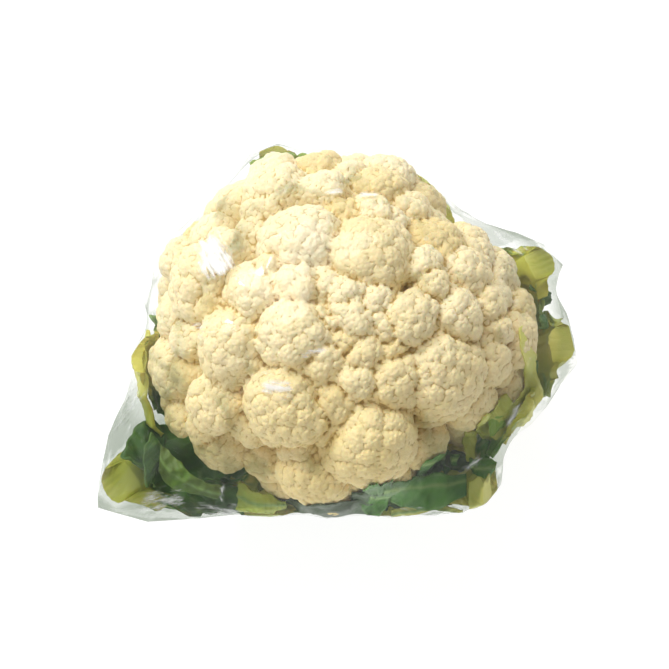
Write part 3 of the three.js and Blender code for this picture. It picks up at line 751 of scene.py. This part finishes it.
def laid_on_front(points, shape):
    """How far each point of a blade comes forward to lie on the curd instead of in or behind it."""
    view = np.array([0, -math.sin(FRONT_LEAN), math.cos(FRONT_LEAN)])
    deep = (points - HEART) @ view
    from_place = points - deep[:, None] * view + 200 * view
    hits = [curd_tree.ray_cast(Vector(place * MM), Vector(-view))[3] for place in from_place]
    front = np.array([-np.inf if hit is None else 200 - hit / MM for hit in hits])
    lift = np.maximum(front + TORN_CLEAR - deep, 0).reshape(shape)
    for _ in range(TAUT_PASSES):
        wide = np.pad(lift, 1, mode="edge")
        beside = wide[2:, 1:-1] + wide[:-2, 1:-1] + wide[1:-1, 2:] + wide[1:-1, :-2]
        lift = np.maximum(lift, beside / 4)
    return lift.reshape(-1, 1) * view


def behind_front(points):
    down = np.array([0, math.cos(FRONT_LEAN), math.sin(FRONT_LEAN)])
    return down * np.maximum(-LAID_ON - (points - HEART) @ down, 0)[:, None]


def walled(inner, outer, columns):
    """The points and faces of a sheet from its two sides. The last row of faces is its far end."""
    pairs = np.stack([inner, outer], 1).reshape(-1, 3)
    spot = np.arange(len(inner)).reshape(-1, columns)
    a, b, c, d = spot[:-1, :-1], spot[1:, :-1], spot[1:, 1:], spot[:-1, 1:]
    quads = [np.stack([2 * a + 1, 2 * b + 1, 2 * c + 1, 2 * d + 1], -1).reshape(-1, 4)]
    quads.append(np.stack([2 * d, 2 * c, 2 * b, 2 * a], -1).reshape(-1, 4))
    for edge, order in ((spot[:, 0], 1), (spot[:, -1], -1), (spot[0], -1), (spot[-1], 1)):
        p, q = edge[:-1], edge[1:]
        quads.append(np.stack([2 * p, 2 * q, 2 * q + 1, 2 * p + 1], -1)[:, ::order])
    return pairs, np.vstack(quads)


def from_front(places):
    """Places given as right, up and over the table, as x, y, z from the heart."""
    across, up, high = np.array(places, float).T
    high = high - HEART[2]
    deep = (up - high * math.sin(FRONT_LEAN)) / math.cos(FRONT_LEAN)
    near = 1 - (high * math.cos(FRONT_LEAN) - deep * math.sin(FRONT_LEAN)) / SEEN_FROM
    deep = (up * near - high * math.sin(FRONT_LEAN)) / math.cos(FRONT_LEAN)
    return np.stack([across * near, deep, high], 1)


def torn_blade(one, other, dark, ruffle, rib, seed, on_curd):
    """A piece of blade between its two long edges. It lies on the curd's front where it would be hidden."""
    draw = np.random.default_rng(seed)
    along = np.linspace(0, 1, TORN_STEPS + 1)
    first = route_at(from_front(one), along)[0]
    last = route_at(from_front(other), along)[0]
    t = np.linspace(0, 1, TORN_ACROSS + 1)
    ragged = 0.05 * np.sin(9 * along + 6 * draw.random()) + 0.025 * np.sin(23 * along + 6 * draw.random())
    share = t[None, :] + (ragged[:, None] * (1 - 2 * t[None, :]))
    flat = first[:, None] * (1 - share[..., None]) + last[:, None] * share[..., None]
    over = unit(np.cross(np.gradient(flat, axis=0), np.gradient(flat, axis=1)))
    over *= np.sign((over * [0, -math.sin(FRONT_LEAN), math.cos(FRONT_LEAN)]).sum(-1).mean())
    rise = 1.6 * ruffle * np.sin(math.pi * share)
    for wave in TORN_WAVES:
        way = unit(draw.normal(size=3))
        fold = np.sin(flat @ way * 2 * math.pi / wave + 6 * draw.random())
        rise = rise + RUFFLED * ruffle * wave / 20 * (1 - 2 * np.abs(fold) ** 0.7)
    vein = np.zeros(share.shape)
    if rib:
        from_rib = np.abs(share - rib) * np.linalg.norm(last - first, axis=1)[:, None]
        vein = np.exp(-(from_rib / 0.9) ** 2)
    slant = np.abs(share - max(rib, 0.1)) * 2.5 + along[:, None] * 6
    twigs = 0.3 * np.exp(-((slant - np.round(slant)) / 0.07) ** 2)
    from_edge = np.minimum(share, 1 - share) * np.linalg.norm(last - first, axis=1)[:, None]
    twigs = np.maximum(twigs, EDGE_PALE * np.exp(-(from_edge / 0.5) ** 2))
    vein = np.maximum(vein, twigs * (dark > 0.2))
    top = flat + over * (rise + 0.35 * vein)[..., None]
    inner, outer = (top - over * TORN_THICK).reshape(-1, 3) + HEART, top.reshape(-1, 3) + HEART
    push = laid_on_front(inner, share.shape) * on_curd
    push = push + just_clear_of_curd(inner + push)
    push = push + within_film(outer + push)
    pairs, quads = walled(inner + push, outer + push, TORN_ACROSS + 1)
    pairs[:, 2] = np.maximum(pairs[:, 2], LEAST_Z)
    return pairs, quads, np.full(share.size, dark), vein.ravel(), np.zeros(len(quads))


def leaf_mesh(ring, degrees, reach, tip_z, width, tip, left, right, dark, stalk):
    """A petiole with its blade: u runs from the stem to the cut, v across it, -1 to 1."""
    root_z, under_z, bend_z, clear, rib_root = RINGS[ring]
    angle = math.radians(degrees)
    rim = float(rim_radius(np.array([angle]))[0])
    phase = next(draw_from(degrees)) * 2 * math.pi
    corners = np.array([
        (ROOT_R, root_z), (UNDER_R, under_z), (min(rim - 5, reach - 8), bend_z),
        (min(rim + clear, reach - 2), bend_z + 0.45 * (tip_z - bend_z)), (reach, tip_z),
    ], float)
    u = np.repeat(np.linspace(0, 1, LEAF_STEPS + 1), LEAF_ACROSS + 1)
    v = np.tile(np.linspace(-1, 1, LEAF_ACROSS + 1), LEAF_STEPS + 1)
    rib = rib_root + (tip - rib_root) * u
    rib_half = width / 2 * (1.25 - 0.5 * ease(u, 0, 0.45))
    grown = ease(u, BLADE_STARTS, BLADE_FULL)
    in_rib = np.minimum(np.abs(v) * 2, 1)
    in_blade = np.maximum(np.abs(v) * 2 - 1, 0)
    lobes = 1 + LOBE * np.sin(phase + 19 * u) + 0.05 * np.sin(2 * phase + 61 * u)
    blade = np.where(v < 0, right, left) * grown * lobes
    blade = 1.5 + blade * (1 - 0.7 * ease(u, BLADE_NARROWS, BLADE_NARROW))
    side = np.sign(v) * (in_rib * rib_half + in_blade * blade)
    cut_back = 1 - 0.1 * in_blade * ease(u, 0.7, 1)
    at, way, length = route_at(corners, u * cut_back)
    out = np.stack([way[:, 1], -way[:, 0]], 1)
    thick = BLADE + (rib - BLADE) * np.sqrt(1 - in_rib ** 2 * 0.999)
    wave = grown * in_blade * WAVE * np.sin(phase + 9 * u + 2.1 * v)
    wave = wave + grown * in_blade ** 2 * 0.9 * np.sin(3 * phase + 31 * u)
    wave = wave + grown * in_blade * 0.8 * (1 - 2 * np.abs(np.sin(phase + 12 * u + 5 * v)) ** 0.7)
    turn = angle + side / np.maximum(at[:, 0], ROOT_R + 10)
    beyond = np.maximum(np.abs(side) - rib_half * 0.7, 0)
    along = (u * length - beyond * 0.8 + phase) / VEINS_APART
    from_vein = np.abs(along - np.round(along)) * VEINS_APART * 0.75
    vein = np.exp(-(from_vein / 0.7) ** 2) * grown * np.minimum(in_blade * 6, 1)
    strings = 0.18 * np.sin(v * 34) * (1 - in_blade)

    def face(offset, slide):
        where = at + out * (offset + wave)[:, None] + way * (slide * tip * ease(u, 0.86, 1))[:, None]
        return turned(where[:, 0], where[:, 1], turn)

    inner, outer = face(-0.3 * thick, -SLANT_CUT), face(0.7 * thick + 0.4 * vein + strings, 0.1)
    push = clear_of_curd(inner) + behind_front(outer)
    push = push + within_film(outer + push)
    pairs, quads = walled(inner + push, outer + push, LEAF_ACROSS + 1)
    pairs[:, 2] = np.maximum(pairs[:, 2], LEAST_Z)
    on_cut = np.zeros(len(quads))
    on_cut[-LEAF_ACROSS:] = 1
    trimmed = 1 - ease(u, 0.9, 0.98)
    share = ease(in_blade * 1.3 + 0.35 * (grown - 1), 0.0, 0.8) * grown * trimmed
    tip_pale = 1 if stalk < 0 else 1 - ease(u, 0.87, 0.93)
    # Darkness past 1 is painted shade, on blade and petiole alike.
    darkness = share * (0.45 + 0.65 * dark) + (1 - share) * stalk * tip_pale * (1 - 0.3 * grown)
    return pairs, quads, darkness, vein, on_cut


def grown_leaf(name, pieces):
    """One mesh of a leaf and of what is left of its blade, with what its finish reads."""
    starts = np.cumsum([0] + [len(piece[0]) for piece in pieces])
    quads = np.vstack([piece[1] + start for piece, start in zip(pieces, starts)])
    mesh = mesh_from(name, np.vstack([piece[0] for piece in pieces]), quads.tolist())
    give(mesh, "blade", np.repeat(np.concatenate([piece[2] for piece in pieces]), 2))
    give(mesh, "vein", np.repeat(np.concatenate([piece[3] for piece in pieces]), 2))
    on_cut = np.concatenate([piece[4] for piece in pieces])
    mesh.attributes.new("cut", "FLOAT", "FACE").data.foreach_set("value", on_cut.astype(np.float32))
    for polygon, flat in zip(mesh.polygons, on_cut):
        polygon.use_smooth = not flat
    return mesh


material, tree, skin, node = finish_of("leaf_skin")
where = node("ShaderNodeTexCoord").outputs["Object"]
mottled = spread_over(node, noise(node, where, 60.0, 4.0), 0.35, 0.65)
dark_and_shade_share = attribute(node, "blade")
pale = mixed(node, mottled, *PALE_GREENS)
pale = mixed(node, spread_over(node, dark_and_shade_share, -0.1, -1.0), pale, LIME)
bluish = mixed(node, mottled, *BLUISH_GREENS)
lively = mixed(node, mottled, *LIVELY_GREENS)
green = mixed(node, spread_over(node, noise(node, where, 32.0, 2.0), 0.42, 0.58), bluish, lively)
grown = mixed(node, spread_over(node, dark_and_shade_share, 0.0, 0.85), pale, green)
veined = mixed(node, attribute(node, "vein"), grown, RIB_GREEN)
# Past 1 the darkness turns the green into painted shade.
shaded = mixed(node, spread_over(node, dark_and_shade_share, 1.0, 1.4), veined, SHADE_GREEN)
flesh = mixed(node, mottled, *CUT_GREENS)
tree.links.new(mixed(node, attribute(node, "cut"), shaded, flesh), skin.inputs["Base Color"])
settle(skin, {"Roughness": 0.45, "Subsurface Weight": 0.1, "Subsurface Scale": 0.002})
fine = node("ShaderNodeTexVoronoi", {"Vector": where, "Scale": 420.0}, feature="DISTANCE_TO_EDGE")
bumped(tree, node, skin, fine.outputs["Distance"], 0.35, 0.0005)
leaf_skin = material

for name, *sizes in LEAVES:
    pieces = [leaf_mesh(*sizes)]
    for seed, (of_leaf, dark, ruffle, rib, one, other) in enumerate(TORN):
        if of_leaf == name:
            pieces.append(torn_blade(one, other, dark, ruffle, rib, seed, name in LAID_ON_CURD))
    mesh = grown_leaf(name + "_grown", pieces)
    leaf = shown(name + "_grown", mesh)
    mesh.materials.append(leaf_skin)
    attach(leaf, "root")
    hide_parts(name)


# The film. One sheet of clear plastic about 0.03 mm thick is drawn over the head and gathered round
# the foot of the stem. It lies on the florets' tops and on the ends of the leaves, spans what is between
# them, and its gloss shows every crease that pulls from the cut leaf ends.
FILM_CLEAR = 0.35
FILM_PASSES = 60
HEM_SLACK = 9.0  # near the table its corners round off by up to this
HEM_ROUNDS = 60.0
FILM_SLACK = 0.9  # how far it may be drawn in from the solid film
FILM_ROOM = 2.4  # how far out of the solid film it starts
FILM_THICK = 0.06
LAST_PASSES = 20
CLEAR_ON_HEAD, GREY_WHERE_FREE = (0.992, 0.994, 0.99, 1), (0.80, 0.82, 0.79, 1)
# The white of the streaks is a painted highlight, in part the film whitened at its folds.
GLINT_STREAK_WHITE = (0.95, 0.96, 0.95, 1)
CREASES = 90
WRINKLES = [
    # small folds that catch the light: where they are from the front, how long and at what slope they run,
    # how wide and high each is, how many lie side by side, and how white they are: the white is a painted
    # highlight, in part the film whitened at its folds
    (-56, 31, 26, -62, 3.4, 0.4, 4, 1.0), (-56, 1, 24, 8, 2.2, 0.5, 3, 0.5),
    (-29, -22, 19, -8, 2.4, 0.6, 3, 0.8), (-6, 58, 12, 5, 1.8, 0.4, 2, 0.7),
    (8, 57, 13, -4, 1.8, 0.4, 2, 0.7), (-14, -8, 15, 2, 2.0, 0.4, 2, 0.6),
    (34, 37, 12, -30, 1.8, 0.4, 2, 0.5), (68, 38, 28, -28, 2.2, 0.6, 4, 0.5),
    (50, -56, 20, 35, 1.5, 0.4, 3, 0.6), (56, -57, 14, -38, 1.4, 0.4, 2, 0.5),
    (68, -34, 17, 60, 2.0, 0.6, 3, 0.6), (-78, -71, 32, 14, 2.4, 0.9, 5, 0.66),
    (-55, -75, 30, -5, 2.4, 0.8, 3, 0.62), (-53, -67, 12, 84, 1.4, 0.6, 1, 0.9),
    (-92, -32, 34, 56, 2.6, 0.8, 5, 0.5), (26, -75, 26, 4, 2.2, 0.5, 3, 0.3),
    (-30, 52, 30, 40, 3.0, 0.3, 3, 0.15), (60, -66, 14, 75, 2.0, 0.4, 2, 0.3),
    (-24, 60, 18, 20, 2.6, 0.3, 3, 0.2), (30, 68, 24, -15, 2.4, 0.4, 3, 0.25),
    (84, -2, 20, 80, 2.4, 0.5, 3, 0.3),
]


def film_sheet():
    """The film's outer face in the part."""
    form = bmesh.new()
    form.from_mesh(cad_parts["film_wrap"].data)
    bmesh.ops.remove_doubles(form, verts=form.verts, dist=1e-6)
    heart = Vector(HEART * MM)
    inner = [f for f in form.faces if f.normal.dot(f.calc_center_median() - heart) < 0.002]
    bmesh.ops.delete(form, geom=inner, context="FACES")
    loose = [v for v in form.verts if not v.link_faces]
    bmesh.ops.delete(form, geom=loose, context="VERTS")
    mesh = bpy.data.meshes.new("film_drawn_over")
    form.to_mesh(mesh)
    form.free()
    return mesh


def split_finer(film, levels, kind):
    finer = film.modifiers.new("finer", "SUBSURF")
    finer.subdivision_type = kind
    finer.levels = finer.render_levels = levels
    ready = film.evaluated_get(bpy.context.evaluated_depsgraph_get())
    film.data = bpy.data.meshes.new_from_object(ready)
    film.modifiers.clear()
    return film.data


leaf_tree = tree_of(stem.data, *(bpy.data.objects[name + "_grown"].data for name, *_ in LEAVES))
film = shown("film_drawn_over", film_sheet())
solid_film = tree_of(film.data)


def drawn_tight(mesh, outward, slack, passes):
    """Pulls the sheet smooth over what it wraps. Gives its directions and distances from the heart, how
    near what is under it lets it come, how far in it may be at all, which of its points are held at the
    hem, and how far the table is."""
    seen = places_of(mesh) - HEART
    far = np.linalg.norm(seen, axis=1)
    dirs = seen / far[:, None]
    lies_on = np.maximum(reach_of(curd_tree, dirs), reach_of(leaf_tree, dirs)) + FILM_CLEAR
    a, b, middle = neighbours_of(mesh)
    sides_of = np.zeros(len(mesh.loops), int)
    mesh.loops.foreach_get("edge_index", sides_of)
    rim = np.bincount(sides_of, minlength=len(mesh.edges)) == 1
    held = np.zeros(len(far), bool)
    held[a[rim]] = held[b[rim]] = True
    ground = np.where(dirs[:, 2] < 0, (HEART[2] - 0.6) / np.maximum(-dirs[:, 2], 1e-9), np.inf)
    low = 1 - ease((seen + HEART)[:, 2], 4, HEM_ROUNDS)
    least = np.maximum(lies_on, reach_of(solid_film, dirs) - slack - HEM_SLACK * low)
    here = np.where(held, far, np.maximum(far + outward, least))
    for _ in range(passes):
        pulled = (middle(dirs * here[:, None]) * dirs).sum(1)
        here = np.where(held, far, np.minimum(np.maximum(here + 0.7 * (pulled - here), least), ground))
    return dirs, here, lies_on, least, held, ground


mesh = split_finer(film, 1, "SIMPLE")
dirs, far, *_ = drawn_tight(mesh, FILM_ROOM, FILM_SLACK, FILM_PASSES)
place(mesh, dirs * far[:, None] + HEART)
mesh = split_finer(film, 2, "CATMULL_CLARK")
dirs, far, lies_on, least, held, ground = drawn_tight(mesh, 0, FILM_SLACK, LAST_PASSES)

# Creases run from the leaf ends and the hem over the free film.
draw = np.random.default_rng(33)
ridge = np.zeros(len(far))
anchors = []
for name, ring, degrees, reach, tip_z, *_ in LEAVES:
    turn = math.radians(degrees)
    anchors.append(unit(np.array([reach * math.cos(turn), reach * math.sin(turn), tip_z - HEART[2]])))
for k in range(CREASES):
    start = anchors[k % len(anchors)] if k % 3 else unit(draw.normal(size=3) + np.array([0, 0, 0.6]))
    across = unit(np.cross(start, draw.normal(size=3)))
    along = np.cross(across, start)
    angle = np.arctan2(dirs @ along, dirs @ start)
    reach = 0.25 + 0.5 * draw.random()
    bend = 0.05 * draw.normal()
    aside = (dirs @ across - bend * angle ** 2) * far
    wide = 0.9 + 1.1 * draw.random()
    window = ease(angle, 0, 0.12) * (1 - ease(angle, 0.4 * reach, reach))
    ridge = np.maximum(ridge, (0.35 + 0.5 * draw.random()) * window * np.exp(-(aside / wide) ** 2))
across_front = dirs[:, 0] * far
up_front = (dirs[:, 1] * math.cos(FRONT_LEAN) + dirs[:, 2] * math.sin(FRONT_LEAN)) * far
to_front = dirs[:, 2] * math.cos(FRONT_LEAN) - dirs[:, 1] * math.sin(FRONT_LEAN) > -0.1
# Along the listed folds the film gets white streaks: painted highlights, in part the film whitened at its
# folds.
worn, worn_along, worn_aside = np.zeros(len(far)), np.zeros(len(far)), np.zeros(len(far))
for across, up, length, slope, wide, rise, count, white in WRINKLES:
    lean = math.radians(slope)
    x, y = across_front - across, up_front - up
    along, aside = x * math.cos(lean) + y * math.sin(lean), y * math.cos(lean) - x * math.sin(lean)
    window = ease(length * 0.5 - np.abs(along), 0, length * 0.3) * to_front
    mask = white * window * np.exp(-(aside / (0.55 * wide * (count + 0.5))) ** 2)
    here = mask > worn
    worn = np.where(here, mask, worn)
    worn_along, worn_aside = np.where(here, along, worn_along), np.where(here, aside + 9 * slope, worn_aside)
    for k in range(count):
        off = aside - (k - (count - 1) / 2) * wide * 1.1 - 0.012 * draw.normal() * along ** 2
        ridge = np.maximum(ridge, rise * window * np.exp(-(off / (0.42 * wide)) ** 2))
free = ease(far - least, -0.1, 2.5)
far = np.where(held, far, np.minimum(far + ridge * (0.35 + 0.65 * free), ground))
place(mesh, dirs * far[:, None] + HEART)
give(mesh, "free", ease(far - lies_on, 3.5, 14.0))
give(mesh, "worn", worn)
give(mesh, "worn_along", worn_along)
give(mesh, "worn_aside", worn_aside)
for polygon in mesh.polygons:
    polygon.use_smooth = True



def worked_out(node, operation, *values):
    return node("ShaderNodeMath", dict(enumerate(values)), operation=operation).outputs[0]


def glossy(node, roughness, normal):
    inputs = {"Color": (1, 1, 1, 1), "Roughness": roughness, "Normal": normal}
    return node("ShaderNodeBsdfGlossy", inputs).outputs[0]


material, tree, skin, node = finish_of("film_clear")
tree.nodes.remove(skin)
pulled = {"Rotation": (0.3, 0.2, 0.6), "Scale": (1.0, 0.35, 0.6)}
pulled["Vector"] = node("ShaderNodeTexCoord").outputs["Object"]
stretched = node("ShaderNodeMapping", pulled).outputs[0]
crinkle = noise(node, stretched, 75.0, 5.0, 0.6, noise_type="RIDGED_MULTIFRACTAL")
crinkled = node("ShaderNodeBump", {"Height": crinkle, "Strength": 0.35, "Distance": 0.0012}).outputs["Normal"]
facing = node("ShaderNodeLayerWeight", {"Blend": 0.5, "Normal": crinkled}).outputs["Facing"]
edge = worked_out(node, "POWER", facing, 4.0)
shine = worked_out(node, "MULTIPLY_ADD", edge, 0.035, 0.018)
sharp, broad = glossy(node, 0.1, crinkled), glossy(node, 0.42, crinkled)
gloss = node("ShaderNodeMixShader", {0: 0.5, 1: sharp, 2: broad}).outputs[0]
tint = mixed(node, attribute(node, "free"), CLEAR_ON_HEAD, GREY_WHERE_FREE)
clear = node("ShaderNodeBsdfTransparent", {"Color": tint}).outputs[0]
# A diffuse white: faint haze at grazing angles, and the painted highlight of the white streaks.
haze_and_glint_white = node("ShaderNodeBsdfDiffuse", {"Color": GLINT_STREAK_WHITE}).outputs[0]
streak_place = {"X": attribute(node, "worn_along"), "Y": attribute(node, "worn_aside")}
streak_place = stretched_by(node, node("ShaderNodeCombineXYZ", streak_place).outputs[0], (0.11, 0.42, 1))
glint_share = attribute(node, "worn")
streaks = worked_out(node, "MULTIPLY_ADD", glint_share, 0.42, noise(node, streak_place, 1.0, 5.0, 0.65))
part_white = worked_out(node, "MULTIPLY_ADD", glint_share, 0.6, 0.4)
white = worked_out(node, "MULTIPLY", spread_over(node, streaks, 0.66, 0.98), part_white)
haze_and_glint_share = worked_out(node, "MULTIPLY_ADD", white, 0.75, worked_out(node, "MULTIPLY", edge, 0.012))
body = node("ShaderNodeMixShader", {0: haze_and_glint_share, 1: clear, 2: haze_and_glint_white}).outputs[0]
whole = node("ShaderNodeMixShader", {0: shine, 1: body, 2: gloss}).outputs[0]
tree.links.new(whole, tree.nodes["Material Output"].inputs["Surface"])
mesh.materials.clear()
mesh.materials.append(material)
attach(film, "root")
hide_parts("film_wrap")
wall = film.modifiers.new("wall", "SOLIDIFY")
wall.thickness = FILM_THICK * MM
wall.offset = 0


# The table that the head stands on, the soft light over it, and the photographer's place.
TABLE_HALF = 1500
table_corners = [(x * TABLE_HALF, y * TABLE_HALF, 0.0) for x, y in ((-1, -1), (1, -1), (1, 1), (-1, 1))]
floor_mesh = mesh_from("table_top", np.array(table_corners), [(0, 1, 2, 3)])
floor = shown("table_top", floor_mesh)
floor.location.z = -0.0005
material, tree, top, node = finish_of("table_white")
top.inputs["Base Color"].default_value = (0.22, 0.22, 0.22, 1)
top.inputs["Roughness"].default_value = 0.9
top.inputs["Emission Color"].default_value = (1, 1, 1, 1)
top.inputs["Emission Strength"].default_value = 0.9
floor_mesh.materials.append(material)

world = bpy.data.worlds.new("studio")
world.use_nodes = True
world.node_tree.nodes["Background"].inputs["Color"].default_value = (1, 1, 1, 1)
world.node_tree.nodes["Background"].inputs["Strength"].default_value = 0.38
scene = bpy.context.scene
scene.world = world
scene.view_settings.view_transform = "Standard"

HEART_M = Vector((0, 0, 0.066))
AWAY = 1.2
ELEVATION = math.radians(76)
PIXEL = 0.000425  # metres of the object that a pixel of the photo shows
FRAME_PIXELS = 669
HEART_PIXEL = (349, 332)  # where the photo shows the heart
toward = Vector((0, -math.cos(ELEVATION), math.sin(ELEVATION)))
right = Vector((1, 0, 0))
up = toward.cross(right)


def lamp(name, place, size, power, colour=(1, 1, 1)):
    light = bpy.data.lights.new(name, "AREA")
    light.shape = "RECTANGLE"
    light.size, light.size_y = size
    light.energy = power
    light.color = colour
    made = bpy.data.objects.new(name, light)
    scene.collection.objects.link(made)
    made.location = place
    made.rotation_mode = "QUATERNION"
    made.rotation_quaternion = (Vector(place) - HEART_M).to_track_quat("Z", "Y")


lamp("soft_key", HEART_M + up * 1.15 - right * 0.4 + toward * 0.9, (1.3, 0.9), 18.5)
lamp("window", HEART_M + up * 0.9 - right * 0.95 + toward * 0.7, (0.12, 0.16), 5)
lamp("soft_fill", HEART_M - up * 0.5 - right * 0.8 + toward * 0.8, (0.9, 0.9), 3.2)

lens = bpy.data.cameras.new("photographer")
lens.lens = 50
lens.sensor_width = lens.lens * FRAME_PIXELS * PIXEL / AWAY
lens.shift_x = (FRAME_PIXELS / 2 - HEART_PIXEL[0]) / FRAME_PIXELS
lens.shift_y = -(FRAME_PIXELS / 2 - HEART_PIXEL[1]) / FRAME_PIXELS
camera = bpy.data.objects.new("photographer", lens)
scene.collection.objects.link(camera)
turned_to_head = Matrix((right, up, toward)).transposed().to_4x4()
camera.matrix_world = Matrix.Translation(HEART_M + toward * AWAY) @ turned_to_head
scene.camera = camera
